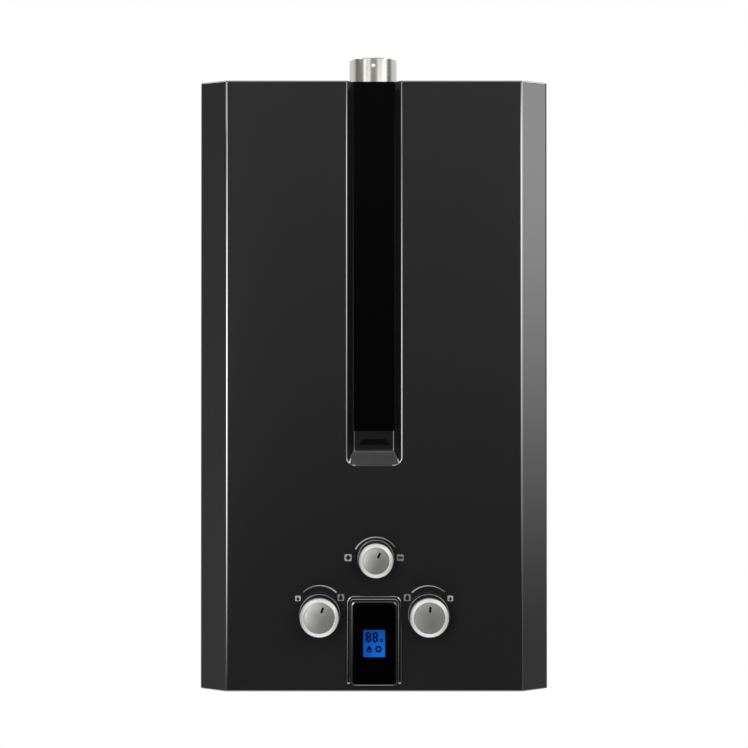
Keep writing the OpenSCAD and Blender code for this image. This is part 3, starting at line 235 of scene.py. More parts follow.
@dataclass(frozen=True)
class Finish:
    """An opaque surface finish with a procedural grain.

    Attributes:
        name: the material's name.
        colour: main colour, sRGB hex.
        shade: colour that the grain leans to, sRGB hex.
        metallic: 1 for bare metal.
        roughness: middle of the roughness range.
        spread: how far the grain moves the roughness either way.
        pattern: how the surface was made.
        grain: size of the grain, in millimetres.
        relief: height of the grain, in millimetres.
        ior: index of refraction of a non-metal.
        anisotropy: stretch of a turned face's highlight.
        axis: point on the turning axis, in millimetres.
    """

    name: str
    colour: str
    shade: str
    metallic: float = 0.0
    roughness: float = 0.5
    spread: float = 0.05
    pattern: Pattern = Pattern.MOULDED
    grain: float = 1.5
    relief: float = 0.004
    ior: float = 1.5
    anisotropy: float = 0.0
    axis: Point3 = (0.0, 0.0, 0.0)

    def material(self) -> bpy.types.Material:
        """Gives the finish's material and makes it the first time.

        Returns:
            The material.
        """
        known = bpy.data.materials.get(self.name)
        if known:
            return known
        made = bpy.data.materials.new(self.name)
        made.use_nodes = True
        made.node_tree.nodes.clear()
        self.shade_tree(made.node_tree)
        made.diffuse_color = linear(self.colour)
        return made

    def grain_socket(self, tree: Tree) -> Socket:
        """Adds the grain's texture on Object coordinates.

        Args:
            tree: the material's tree.

        Returns:
            A socket that runs from 0 to 1.
        """
        stretch = STRETCH.get(self.pattern, (1, 1, 1))
        where = object_coords(tree, [-v * MM for v in self.axis], stretch)
        per_metre = 1 / (self.grain * MM)
        if self.pattern is Pattern.TURNED:
            # A wave texture has 10 / pi times its scale in rings to the metre.
            inputs = {"Vector": where, "Scale": per_metre * math.pi / 10, "Distortion": 0.4}
            way = {"wave_type": "RINGS", "rings_direction": "Y"}
            return add_node(tree, "ShaderNodeTexWave", inputs, **way).outputs["Fac"]
        if self.pattern is Pattern.SPANGLED:
            inputs = {"Vector": where, "Scale": per_metre, "Randomness": 1.0}
            return add_node(tree, "ShaderNodeTexVoronoi", inputs).outputs["Color"]
        inputs = {"Vector": where, "Scale": per_metre, "Detail": 3.0, "Roughness": 0.55}
        return add_node(tree, "ShaderNodeTexNoise", inputs).outputs["Fac"]

    def shade_tree(self, tree: Tree) -> None:
        """Fills the material's tree.

        Args:
            tree: an empty material tree.
        """
        grain = self.grain_socket(tree)
        low, high = self.roughness - self.spread, self.roughness + self.spread
        height = {"Height": grain, "Distance": self.relief * MM, "Strength": 1.0}
        bump = add_node(tree, "ShaderNodeBump", height)
        inputs = {
            "Base Color": mix_colours(tree, grain, self.colour, self.shade),
            "Roughness": ramp(tree, grain, (0.0, low), (1.0, high)),
            "Normal": bump.outputs["Normal"],
            "Metallic": self.metallic,
            "IOR": self.ior,
            "Anisotropic": self.anisotropy,
        }
        if self.anisotropy:
            rim = add_node(tree, "ShaderNodeTangent", direction_type="RADIAL", axis="Y")
            inputs["Tangent"] = rim.outputs["Tangent"]
        surface(tree, inputs)


@dataclass(frozen=True)
class BacklitFinish(Finish):
    """A lit LCD behind clear plastic, which is palest by its lamp.

    Attributes:
        dark: colour without the backlight, sRGB hex.
        glow: strength of the backlight.
        reach: distance over which the light falls off, in millimetres.
        lamp: middle of the lit patch, in millimetres.
    """

    dark: str = "#010409"
    glow: float = 1.0
    reach: float = 34.0
    lamp: Point3 = (0.0, 0.0, 0.0)

    def shade_tree(self, tree: Tree) -> None:
        """Fills the material's tree.

        Args:
            tree: an empty material tree.
        """
        size = 1 / (self.reach * MM)
        where = object_coords(tree, [-v / self.reach for v in self.lamp], [size] * 3)
        falloff = add_node(
            tree, "ShaderNodeTexGradient", {"Vector": where}, gradient_type="SPHERICAL"
        )
        surface(tree, {
            "Base Color": linear(self.dark),
            "Roughness": self.roughness,
            "IOR": self.ior,
            "Emission Color": mix_colours(tree, falloff.outputs["Fac"], self.shade, self.colour),
            "Emission Strength": self.glow,
        })


@dataclass(frozen=True)
class GlassFinish(Finish):
    """Smoked heat-resistant glass.

    Attributes:
        clear: share of the light that goes through.
    """

    clear: float = 0.8

    def shade_tree(self, tree: Tree) -> None:
        """Fills the material's tree.

        Args:
            tree: an empty material tree.
        """
        surface(tree, {
            "Base Color": mix_colours(tree, self.grain_socket(tree), self.colour, self.shade),
            "Roughness": self.roughness,
            "IOR": self.ior,
            "Transmission Weight": self.clear,
        })


@dataclass(frozen=True)
class StageFinish(Finish):
    """Matt paint that shows its shade to the camera and keeps a faint shadow.

    Attributes:
        glow: share of the shade where the camera or a mirror sees the paint.
    """

    glow: float = 0.85

    def shade_tree(self, tree: Tree) -> None:
        """Fills the material's tree.

        Args:
            tree: an empty material tree.
        """
        path = add_node(tree, "ShaderNodeLightPath")
        matt = add_node(tree, "ShaderNodeBsdfDiffuse", {"Color": linear(self.colour)})
        lit = add_node(tree, "ShaderNodeEmission", {"Color": linear(self.shade)})
        seen = combine(
            tree, "MAXIMUM", path.outputs["Is Camera Ray"], path.outputs["Is Glossy Ray"]
        )
        share = combine(tree, "MULTIPLY", seen, self.glow)
        mixed = add_node(
            tree, "ShaderNodeMixShader", {0: share, 1: matt.outputs[0], 2: lit.outputs[0]}
        )
        add_node(tree, "ShaderNodeOutputMaterial", {"Surface": mixed.outputs[0]})


def enamel(
    name: str, colour: str, shade: str, roughness: float, spread: float, ior: float
) -> Finish:
    """Gives a smooth enamel that is stoved on sheet steel."""
    return Finish(
        name, colour, shade, roughness=roughness, spread=spread, pattern=Pattern.STOVED,
        grain=3.0, relief=0.0005, ior=ior,
    )


# The cover's enamel on its bevels and where the sheet turns in: near-black.
ENAMEL = enamel("stoved_enamel", "#171718", "#1a1a1b", 0.08, 0.015, 2.0)
# A lighter copy of the same enamel on the wide flat front, with only a faint reflection: the
# lighter colour is painted light.
PANEL_LIT_ENAMEL = enamel("flat_enamel_painted_light", "#1f1f20", "#212122", 0.12, 0.015, 1.53)
# A darker, much shinier copy of the enamel on the pressed bends, so that each shows as one thin
# bright line: painted highlight.
BEND_HIGHLIGHT_ENAMEL = enamel("bend_enamel_painted_highlight", "#0e0e0f", "#111112", 0.08, 0.015, 3.0)
# A darker copy of the enamel in the recess: painted shade.
RECESS_SHADED_ENAMEL = enamel("recess_enamel_painted_shade", "#0d0d0e", "#101011", 0.14, 0.02, 1.7)
# The cover's plain sides are powder-coated: the same black with a soft satin sheen.
SIDE_ENAMEL = Finish(
    "satin_powder_coat", "#1a1a1b", "#1f1f20", roughness=0.58, spread=0.04,
    pattern=Pattern.STOVED, grain=1.4, relief=0.006, ior=1.22,
)
# Polished ABS: black with hard, clear reflections.
GLOSS_BLACK = Finish(
    "gloss_black_abs", "#020202", "#030303", roughness=0.05, spread=0.01,
    grain=3.0, relief=0.0005, ior=1.2,
)
# Pale silver metal on the lens's downward foot faces, which shows as one thin bright line: painted
# highlight.
FOOT_HIGHLIGHT_SILVER = Finish(
    "foot_silver_painted_highlight", "#b4b4b3", "#a6a6a5", metallic=1.0, roughness=0.2, grain=1.5, relief=0.001,
)
# Pale satin metal on the knobs' trim rings, standing in for the highlight on their round tops:
# painted highlight, seen as a soft grey line.
RING_HIGHLIGHT_METAL = Finish(
    "ring_metal_painted_highlight", "#a3a3a2", "#949493", metallic=1.0, roughness=0.42, grain=1.2, relief=0.002,
)
# Bead-blasted aluminium on the caps' rims: an even pale silver.
BLASTED_ALUMINIUM = Finish(
    "blasted_aluminium", "#dededc", "#d4d4d2", metallic=1.0, roughness=0.56, grain=0.8,
    relief=0.003,
)
# Moulded ABS with a fine spark texture.
MOULDED_BLACK = Finish(
    "moulded_black_abs", "#0a0a0b", "#101011", roughness=0.5, grain=1.2, ior=1.36,
)
# Deep-drawn stainless steel: bright, with faint lines along the draw.
DRAWN_STEEL = Finish(
    "drawn_steel", "#d3d1cc", "#c6c4bf", metallic=1.0, roughness=0.22, spread=0.04,
    pattern=Pattern.DRAWN, grain=1.6, relief=0.002,
)
# Hot-dip zinc on sheet steel: grey with faint crystals a few millimetres across.
ZINC_SHEET = Finish(
    "zinc_sheet", "#a6a7a8", "#9a9b9d", metallic=1.0, roughness=0.44, spread=0.08,
    pattern=Pattern.SPANGLED, grain=7.0, relief=0.002,
)
# Machined free-cutting brass.
BRASS = Finish(
    "machined_brass", "#c9a64f", "#b08d3c", metallic=1.0, roughness=0.28,
    pattern=Pattern.CAST, grain=1.8, relief=0.001,
)
# Copper sheet and tube, dulled by heat.
COPPER = Finish(
    "copper_sheet", "#b9744a", "#94583a", metallic=1.0, roughness=0.36, spread=0.1,
    pattern=Pattern.CAST, grain=9.0, relief=0.002,
)
# Die-cast aluminium with its grey casting skin.
CAST_ALUMINIUM = Finish(
    "cast_aluminium", "#a7a9ab", "#8f9294", metallic=1.0, roughness=0.48,
    pattern=Pattern.CAST, grain=2.0, relief=0.02,
)
# Bright zinc-plated machined steel.
PLATED_STEEL = Finish(
    "plated_steel", "#b4b7b9", "#9a9da0", metallic=1.0, roughness=0.3,
    pattern=Pattern.ROLLED, grain=1.0, relief=0.002,
)
MOTOR_ENAMEL = Finish(
    "motor_enamel", "#39444f", "#303a45", roughness=0.4, pattern=Pattern.STOVED, grain=1.6,
    relief=0.008,
)
COIL_VARNISH = Finish("coil_varnish", "#54342e", "#3f2520", roughness=0.3, grain=1.0, relief=0.02)
RUBBER = Finish("moulded_rubber", "#211f1d", "#2a2826", roughness=0.75, grain=1.0, relief=0.01)
SILICONE = Finish("silicone_hose", "#a8483c", "#96392f", roughness=0.55, grain=2.0)
PALE_PLASTIC = Finish("moulded_pale_abs", "#d6d4cc", "#c8c5bc", roughness=0.45, grain=1.5)
CERAMIC = Finish("white_ceramic", "#e6e1d6", "#d6d0c4", roughness=0.35, grain=1.5)
BOARD = Finish("circuit_board", "#1f5a31", "#174525", roughness=0.35, grain=3.0)
SMOKED_GLASS = GlassFinish("smoked_glass", "#0d0d0d", "#080808", roughness=0.08, ior=1.47)
# Silver-white screen-printing ink, and the thinner coat of the minus and high-flame signs.
PRINT_INK = Finish("print_ink", "#adaeac", "#9fa09e", roughness=0.5, grain=0.8, relief=0.003)
THIN_INK = Finish("thin_print_ink", "#7f807e", "#727371", roughness=0.5, grain=0.8, relief=0.003)
# A blue backlight that is brightest by its lamp at the lower right.
LCD_BLUE = BacklitFinish(
    "lcd_backlight", "#1468cf", "#06337f", roughness=0.2, ior=1.2, lamp=(8.8, -170.3, -267.0)
)
LCD_INK = Finish(
    "lcd_segment", "#010514", "#020718", roughness=0.3, grain=0.8, relief=0.0, ior=1.12,
)
POINTER_INK = Finish(
    "pointer_ink", "#040404", "#060606", roughness=0.6, grain=0.8, ior=1.15,
)
FLOOR_PAINT = StageFinish("floor_paint", "#f4f4f4", "#ffffff")

SLOT_FINISH: dict[str, Finish] = {
    "cover_paint": ENAMEL,
    "plated_sheet": ZINC_SHEET,
    "flue_steel": DRAWN_STEEL,
    "gloss_black": GLOSS_BLACK,
    "sight_glass": SMOKED_GLASS,
    "lcd": LCD_BLUE,
    "black_plastic": MOULDED_BLACK,
    "board_green": BOARD,
    "cap_silver": DRAWN_STEEL,
    "brass": BRASS,
    "copper": COPPER,
    "cast_aluminium": CAST_ALUMINIUM,
    "motor_paint": MOTOR_ENAMEL,
    "steel": PLATED_STEEL,
    "coil": COIL_VARNISH,
    "rubber": RUBBER,
    "hose": SILICONE,
    "pale_plastic": PALE_PLASTIC,
    "ceramic": CERAMIC,
}


def around(count: int) -> list[float]:
    """Lists even angles around a circle."""
    return [2 * math.pi * i / count for i in range(count)]


def circle(centre: Point2, radius: float, count: int = 48) -> list[Point2]:
    """Lists points around a circle."""
    cx, cz = centre
    return [(cx + radius * math.cos(a), cz + radius * math.sin(a)) for a in around(count)]


def rounded_box(low: Point2, high: Point2, radius: float, count: int = 6) -> list[Point2]:
    """Lists points around a rectangle with round corners.

    Args:
        low: the corner with the least x and z.
        high: the corner with the greatest x and z.
        radius: corner radius.
        count: steps in each corner.

    Returns:
        Points in order around the outline.
    """
    left, right = low[0] + radius, high[0] - radius
    foot, top = low[1] + radius, high[1] - radius
    points = []
    for quarter, (cx, cz) in enumerate([(right, top), (left, top), (left, foot), (right, foot)]):
        for i in range(count + 1):
            a = math.pi / 2 * (quarter + i / count)
            points.append((cx + radius * math.cos(a), cz + radius * math.sin(a)))
    return points


def inset_box(
    low: Vector, high: Vector, inset: float, radius: float, count: int = 6
) -> list[Point2]:
    """Lists points around a CAD box seen from the front.

    Args:
        low: the box's lowest corner.
        high: its highest corner.
        inset: how far the outline is moved in.
        radius: corner radius.
        count: steps in each corner.

    Returns:
        Points in order around the outline.
    """
    return rounded_box(
        (low.x + inset, low.z + inset), (high.x - inset, high.z - inset), radius, count
    )


def drop(centre: Point2, size: float, count: int = 28) -> list[Point2]:
    """Lists points around a drop or flame that comes to a point at its top.

    Args:
        centre: middle of the symbol.
        size: its height.
        count: number of points.

    Returns:
        Points in order around the outline.
    """
    cx, cz = centre
    return [
        (cx + 0.46 * size * math.sin(a) * math.sin(a / 2), cz + 0.5 * size * math.cos(a))
        for a in around(count)
    ]


def cross(centre: Point2, arm: float, bar: float) -> list[Point2]:
    """Lists a cross's corners.

    Args:
        centre: middle of the cross.
        arm: length of each arm from the middle.
        bar: half the width of each arm.

    Returns:
        Points in order around the outline.
    """
    points, corners = [], [(bar, bar), (bar, arm), (-bar, arm)]
    for _ in range(4):
        points += [(centre[0] + u, centre[1] + v) for u, v in corners]
        corners = [(-v, u) for u, v in corners]
    return points


def hexagon(across: float, limit: float, count: int = 72) -> list[Point2]:
    """Lists points around a hexagon with a corner on +X, cut by a circle.

    Args:
        across: distance across the flats.
        limit: radius of the circle.
        count: number of points, a multiple of twelve.

    Returns:
        Points in order around the outline.
    """
    points = []
    for a in around(count):
        r = min(across / 2 / math.cos(a % (math.pi / 3) - math.pi / 6), limit)
        points.append((r * math.cos(a), r * math.sin(a)))
    return points


def lobed(radius: float, depth: float, lobes: int, count: int = 144) -> list[Point2]:
    """Lists points around a circle with shallow grips.

    Args:
        radius: greatest radius.
        depth: how deep the grips are.
        lobes: number of grips.
        count: number of points.

    Returns:
        Points in order around the outline.
    """
    points = []
    for a in around(count):
        r = radius - depth * (0.5 - 0.5 * math.cos(lobes * a))
        points.append((r * math.cos(a), r * math.sin(a)))
    return points


def at_depth(outline: Iterable[Point2], y: float) -> list[Point3]:
    """Stands an outline of x and z at a depth."""
    return [(x, y, z) for x, z in outline]


def at_height(outline: Iterable[Point2], axis: Vector, z: float) -> list[Point3]:
    """Lays an outline flat about an upright axis, at a height."""
    return [(axis.x + u, axis.y + v, z) for u, v in outline]


class Axis(Enum):
    """Directions that a turned piece's height runs in."""

    FRONT = "out of the front panel"
    UP = "up"


class MeshDraft:
    """Gathers a piece's mesh in millimetres and turns it into an object."""

    def __init__(self, name: str) -> None:
        """Starts an empty mesh for a piece of that name."""
        self.name = name
        self.bm = bmesh.new()

    def loft(
        self, rings: Sequence[Sequence[Point3]], closed: bool = True, capped: bool = False
    ) -> list[list[bmesh.types.BMVert]]:
        """Joins rings of points with quads.

        Args:
            rings: rows with the same number of points.
            closed: whether each row runs back to its start.
            capped: whether the first and the last row are filled.

        Returns:
            The rows' vertices.
        """
        rows = [[self.bm.verts.new(p) for p in ring] for ring in rings]
        for a, b in zip(rows, rows[1:]):
            for i in range(len(a) if closed else len(a) - 1):
                j = (i + 1) % len(a)
                self.bm.faces.new((a[i], a[j], b[j], b[i]))
        if capped:
            self.bm.faces.new(rows[0][::-1])
            self.bm.faces.new(rows[-1])
        return rows

    def lathe(
        self, profile: Sequence[Point2], centre: Point3, axis: Axis, count: int = 96
    ) -> None:
        """Turns a profile about an axis.

        Args:
            profile: radius and height of each point.
            centre: where the height is zero.
            axis: the way the height runs.
            count: steps around the axis.
        """
        cx, cy, cz = centre
        rings = []
        for r, h in profile:
            turn = circle((0.0, 0.0), r, count)
            if axis is Axis.FRONT:
                rings.append([(cx + u, cy - h, cz + v) for u, v in turn])
            else:
                rings.append([(cx + u, cy + v, cz + h) for u, v in turn])
        self.loft(rings)

    def ring(self, axis: Vector, rows: Sequence[tuple[Sequence[Point2], float]]) -> None:
        """Adds a closed ring around an upright axis.

        Args:
            axis: a point on the axis.
            rows: an outline about the axis and its height, in order around the section.
        """
        rings = [at_height(outline, axis, z) for outline, z in rows]
        self.loft([*rings, rings[0]])

    def fill(self, loops: Sequence[Sequence[bmesh.types.BMVert]]) -> None:
        """Fills the flat region between an outline and its holes.

        Args:
            loops: the vertices of each loop in order.
        """
        edges = []
        for loop in loops:
            for a, b in zip(loop, [*loop[1:], loop[0]]):
                edges.append(self.bm.edges.get((a, b)) or self.bm.edges.new((a, b)))
        bmesh.ops.triangle_fill(self.bm, use_beauty=True, use_dissolve=False, edges=edges)

    def plate(self, loops: Sequence[Sequence[Point2]], y_front: float, y_back: float) -> None:
        """Makes a flat plate with holes that faces the front.

        Args:
            loops: the outline and then its holes, as x and z.
            y_front: depth of the face.
            y_back: depth of the back.
        """
        fronts, backs = [], []
        for loop in loops:
            rows = self.loft([at_depth(loop, y) for y in (y_front, y_back)])
            fronts.append(rows[0])
            backs.append(rows[1])
        self.fill(fronts)
        self.fill(backs)

    def done(self, finish: Finish, sheet: bool = False, sharp: float = 40.0) -> Piece:
        """Turns the mesh into an object in the scene, in metres.

        Args:
            finish: what the piece is made of.
            sheet: whether the mesh is an open sheet whose faces are already in order.
            sharp: edges that turn by more degrees than this stay sharp.

        Returns:
            The object.
        """
        bmesh.ops.remove_doubles(self.bm, verts=self.bm.verts, dist=1e-4)
        if not sheet:
            bmesh.ops.recalc_face_normals(self.bm, faces=self.bm.faces)
        bmesh.ops.scale(self.bm, vec=(MM, MM, MM), verts=self.bm.verts)
        mesh = bpy.data.meshes.new(self.name)
        self.bm.to_mesh(mesh)
        self.bm.free()
        mesh.materials.append(finish.material())
        made = bpy.data.objects.new(self.name, mesh)
        bpy.context.scene.collection.objects.link(made)
        soften(made, sharp)
        return made


def soften(piece: Piece, sharp: float = 40.0) -> None:
    """Shades a piece smooth, apart from its sharp edges.

    Args:
        piece: a mesh object.
        sharp: edges that turn by more degrees than this stay sharp.
    """
    bm = bmesh.new()
    bm.from_mesh(piece.data)
    for face in bm.faces:
        face.smooth = True
    for edge in bm.edges:
        edge.smooth = edge.calc_face_angle(0.0) < math.radians(sharp)
    bm.to_mesh(piece.data)
    bm.free()


def settle(piece: Piece) -> None:
    """Turns a piece's modifiers into plain mesh."""
    graph = bpy.context.evaluated_depsgraph_get()
    mesh = bpy.data.meshes.new_from_object(piece.evaluated_get(graph))
    piece.modifiers.clear()
    piece.data = mesh


def cut(piece: Piece, cutter: Piece) -> None:
    """Takes a cutter's volume out of a piece and removes the cutter.

    Args:
        piece: the mesh that keeps its place.
        cutter: one or more closed volumes.
    """
    bite = piece.modifiers.new("bite", "BOOLEAN")
    bite.operation = "DIFFERENCE"
    bite.solver = "EXACT"
    bite.object = cutter
    settle(piece)
    bpy.data.objects.remove(cutter)


def new_tree(name: str, inputs: dict[str, str]) -> tuple[Tree, bpy.types.Node]:
    """Starts a Geometry Nodes tree with named inputs.

    Args:
        name: the tree's name.
        inputs: the socket type of each input after the geometry.

    Returns:
        The tree and its input node.
    """
    tree = bpy.data.node_groups.new(name, "GeometryNodeTree")
    tree.interface.new_socket("Geometry", in_out="OUTPUT", socket_type="NodeSocketGeometry")
    tree.interface.new_socket("Geometry", in_out="INPUT", socket_type="NodeSocketGeometry")
    for label, kind in inputs.items():
        tree.interface.new_socket(label, in_out="INPUT", socket_type=kind)
    return tree, add_node(tree, "NodeGroupInput")


def end_tree(tree: Tree, instances: Socket, finish: Socket) -> None:
    """Ends a Geometry Nodes tree with real geometry in one material.

    Args:
        tree: the tree.
        instances: what has been placed.
        finish: the input that holds the material.
    """
    real = add_node(tree, "GeometryNodeRealizeInstances", {"Geometry": instances})
    dressed = add_node(
        tree, "GeometryNodeSetMaterial", {"Geometry": real.outputs["Geometry"], "Material": finish}
    )
    add_node(tree, "NodeGroupOutput", {"Geometry": dressed.outputs["Geometry"]})


def sweep(tree: Tree, curve: Socket, radius: Socket, sides: int) -> Socket:
    """Sweeps a round section along a curve and gives the mesh's socket."""
    inputs = {"Resolution": sides, "Radius": radius}
    section = add_node(tree, "GeometryNodeCurvePrimitiveCircle", inputs).outputs["Curve"]
    inputs = {"Curve": curve, "Profile Curve": section, "Fill Caps": True}
    return add_node(tree, "GeometryNodeCurveToMesh", inputs).outputs["Mesh"]


def grow(piece: Piece, tree: Tree, values: dict[str, object]) -> None:
    """Runs a Geometry Nodes tree on a piece and keeps the result as plain mesh.

    Args:
        piece: the mesh whose points the tree reads.
        tree: the tree.
        values: a value for each named input.
    """
    grown = piece.modifiers.new(tree.name, "NODES")
    grown.node_group = tree
    for item in tree.interface.items_tree:
        if item.in_out == "INPUT" and item.name in values:
            grown[item.identifier] = values[item.name]
    settle(piece)


def place(piece: Piece, body: str, slot: str, *nodes: str) -> Piece:
    """Lets a piece ride on a body and stand for CAD nodes.

    Args:
        piece: a finished object.
        body: the body's name.
        slot: the record's material slot; not used.
        *nodes: CAD nodes that the piece stands for.

    Returns:
        The piece.
    """
    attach(piece, body)
    if nodes:
        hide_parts(*nodes)
    LOG.info("%s: %d faces on %s", piece.name, len(piece.data.polygons), body)
    return piece


@dataclass
class FrontCover:
    """The folded sheet cover with its bevels and its recess.

    Attributes:
        bend_inset: how far a line of the mesh is set in from a bend, so that the flat stays flat.
        flat_step: distances between the panel's lines, across and in height.
        press_step: the same, where the recess is pressed in.
        press_margin: how far the fine lines reach past the recess, across and in height.
        floor_step: distance between the lines on the recess floor.
        cutter_reach: how far a cutter reaches past the sheet.
        lit_copy_margin: how far behind the recess floor the front's lit and shaded copies of the
            enamel end.
        side_turn: least sideways part of the normal on the plain sides.
        flat_turn: least frontward part of the normal on the flat panel.
        bend_turn: greatest sideways part of the normal on the bends beside the panel.
        press_skin: depth from which a face is in the recess and takes its painted shade, at its
            foot and at its sides.
    """

    bevel_w: float = 27.0
    bevel_d: float = 14.0
    sheet_t: float = 0.8
    lip_w: float = 12.0
    bend_r: float = 5.0
    side_bend_r: float = 3.2
    fold_r: float = 1.3
    recess_w: float = 54.6
    recess_floor_w: float = 40.0
    recess_d: float = 8.0
    recess_foot_h: float = 225.6
    recess_slope_h: float = 14.5
    rim_blend: float = 1.0
    foot_blend: float = 0.04
    floor_blend: float = 0.9
    valley_blend: float = 1.6
    corner_r: float = 9.0
    window_top_w: float = 23.6
    pane_margin: float = 4.0
    spindle_hole_r: float = 8.0
    lcd_gap: float = 0.3
    lcd_corner_r: float = 0.2
    bend_inset: float = 0.4
    flat_step: Point2 = (12.0, 30.0)
    press_step: Point2 = (0.4, 0.5)
    press_margin: Point2 = (2.5, 4.0)
    floor_step: float = 3.5
    cutter_reach: float = 2.0
    lit_copy_margin: float = 2.0
    side_turn: float = 0.95
    flat_turn: float = 0.9995
    bend_turn: float = 0.44
    press_skin: Point2 = (0.1, 0.7)
    low: Vector = field(init=False)
    high: Vector = field(init=False)

    def __post_init__(self) -> None:
        """Reads the cover's place from the frame."""
        self.low, self.high = box_mm("front_cover")

    def outline(self, inset: float) -> list[Point2]:
        """Gives the plan outline's corners.

        Args:
            inset: how far the outline is moved in.

        Returns:
            Six corners from the rear left to the rear right.
        """
        slant = math.hypot(self.bevel_w, self.bevel_d)
        side, front = self.high.x - inset, self.low.y + inset
        c = (self.bevel_d * self.high.x - self.bevel_w * (self.low.y + self.bevel_d)
             - inset * slant)
        y_bend = (self.bevel_d * side - c) / self.bevel_w
        x_bend = (c + self.bevel_w * front) / self.bevel_d
        right = [(x_bend, front), (side, y_bend), (side, self.high.y)]
        return [(-x, y) for x, y in reversed(right)] + right

    def depth(self, x: float, z: float) -> float:
        """Gives how far the panel is pressed in at a point of its face.

        Args:
            x: place across the panel.
            z: height of the point.

        Returns:
            The depth, from 0 on the panel to the depth of the recess floor.
        """
        side_slope = 2 * self.recess_d / (self.recess_w - self.recess_floor_w)
        foot_slope = self.recess_d / self.recess_slope_h
        from_side = self.recess_w / 2 - abs(x)
        from_foot = z - self.low.z - self.recess_foot_h
        across = max(self.corner_r - from_side, 0.0)
        along = max(self.corner_r - from_foot, 0.0)
        reach = math.hypot(across, along)
        turn = (along / reach) ** 2 if reach else 0.0
        edge = self.corner_r - reach if reach else from_side
        side = edge * (side_slope + (foot_slope - side_slope) * turn)
        valley = max(self.valley_blend * (1.0 - turn), 0.01)
        walls = smooth_min(side, from_foot * foot_slope, valley)
        rim = self.rim_blend + (self.foot_blend - self.rim_blend) * turn
        return smooth_max(smooth_min(walls, self.recess_d, self.floor_blend), 0.0, rim)

    def stations(self) -> list[tuple[Vector, Vector, Vector, bool]]:
        """Lists where the sheet's upright lines stand.

        Returns:
            For each line its plan point, its outward normal, the lip's inner point and
            whether it is on the front panel.
        """
        corners = [Vector(p) for p in self.outline(0.0)]
        lips = [Vector(p) for p in self.outline(self.lip_w)]
        normals = []
        for a, b in zip(corners, corners[1:]):
            along = (b - a).normalized()
            normals.append(Vector((along.y, -along.x)))
        lines = [(corners[0], normals[0], lips[0], False)]
        for i in range(1, 5):
            n1, n2 = normals[i - 1], normals[i]
            radius = self.bend_r if i in (2, 3) else self.side_bend_r
            middle = corners[i] - radius * (n1 + n2) / (1 + n1.dot(n2))
            for t in span(0.0, 1.0, 0.125):
                n = n1.lerp(n2, t).normalized()
                lines.append((middle + radius * n, n, lips[i], False))
            if i == 2:
                lines += self.panel_lines(lines[-1][0].x, lips[2], normals[2])
        lines.append((corners[5], normals[4], lips[5], False))
        return lines

    def panel_lines(
        self, x_left: float, lip: Vector, normal: Vector
    ) -> list[tuple[Vector, Vector, Vector, bool]]:
        """Lists the upright lines of the front panel between its bends.

        Args:
            x_left: where the left bend ends.
            lip: the lip's inner corner on the left.
            normal: the panel's outward normal.

        Returns:
            Lines as stations gives them.
        """
        edge = self.recess_w / 2 + self.press_margin[0]
        floor_edge = self.recess_floor_w / 2 - self.press_margin[0]
        half = [
            x_left + self.bend_inset,
            *span(x_left, -edge, self.flat_step[0])[1:],
            *span(-edge, -floor_edge, self.press_step[0])[1:],
            *span(-floor_edge, 0.0, self.floor_step)[1:],
        ]
        xs = half + [-x for x in reversed(half[:-1])]
        share = lip.x / x_left
        return [(Vector((x, self.low.y)), normal, Vector((x * share, lip.y)), True) for x in xs]

    def rows(self) -> list[tuple[float | None, float]]:
        """Lists the sheet's levels from the top lip to the bottom lip.

        Returns:
            How far in the sheet is folded at each level, or None for the lip's inner
            edge, and the height.
        """
        quarter = span(0.0, math.pi / 2, math.pi / 12)
        r = self.fold_r
        fold = [(r * (1 - math.sin(t)), r * (1 - math.cos(t))) for t in quarter]
        foot, margin = self.low.z + self.recess_foot_h, self.press_margin[1]
        top_flat, low_flat = self.high.z - self.fold_r, self.low.z + self.fold_r
        dense_top, dense_low = foot + self.recess_slope_h + margin, foot - margin
        heights = [
            top_flat - self.bend_inset,
            *span(top_flat, dense_top, self.flat_step[1])[1:],
            *span(dense_top, dense_low, self.press_step[1])[1:],
            *span(dense_low, low_flat, self.flat_step[1])[1:-1],
            low_flat + self.bend_inset,
        ]
        head = [(None, self.high.z)] + [(o, self.high.z - d) for o, d in fold]
        tail = [(o, self.low.z + d) for o, d in reversed(fold)] + [(None, self.low.z)]
        return head + [(0.0, z) for z in heights] + tail

    def skin(self) -> Piece:
        """Makes the folded sheet with its thickness.

        Returns:
            The sheet before its holes are cut.
        """
        lines = self.stations()
        draft = MeshDraft("cover_sheet")
        rings = []
        for offset, z in self.rows():
            ring = []
            for at, normal, lip, on_panel in lines:
                if offset is None:
                    ring.append((lip.x, lip.y, z))
                    continue
                p = at - normal * offset
                pressed = self.depth(p.x, z) if on_panel else 0.0
                ring.append((p.x, p.y + pressed, z))
            rings.append(ring)
        draft.loft(rings, closed=False)
        draft.bm.normal_update()
        middle = min(draft.bm.faces, key=lambda f: f.calc_center_median().y)
        if middle.normal.y > 0:
            bmesh.ops.reverse_faces(draft.bm, faces=draft.bm.faces)
        sheet = draft.done(ENAMEL, sheet=True)
        wall = sheet.modifiers.new("wall", "SOLIDIFY")
        wall.thickness = self.sheet_t * MM
        wall.offset = -1.0
        settle(sheet)
        return sheet

    def window(self) -> list[Point2]:
        """Gives the flame window's outline as x and z."""
        low, high = box_mm("window_pane")
        foot, top = (high.x - low.x) / 2 - self.pane_margin, self.window_top_w / 2
        z0, z1 = low.z + self.pane_margin, high.z - self.pane_margin
        return [(-foot, z0), (foot, z0), (top, z1), (-top, z1)]

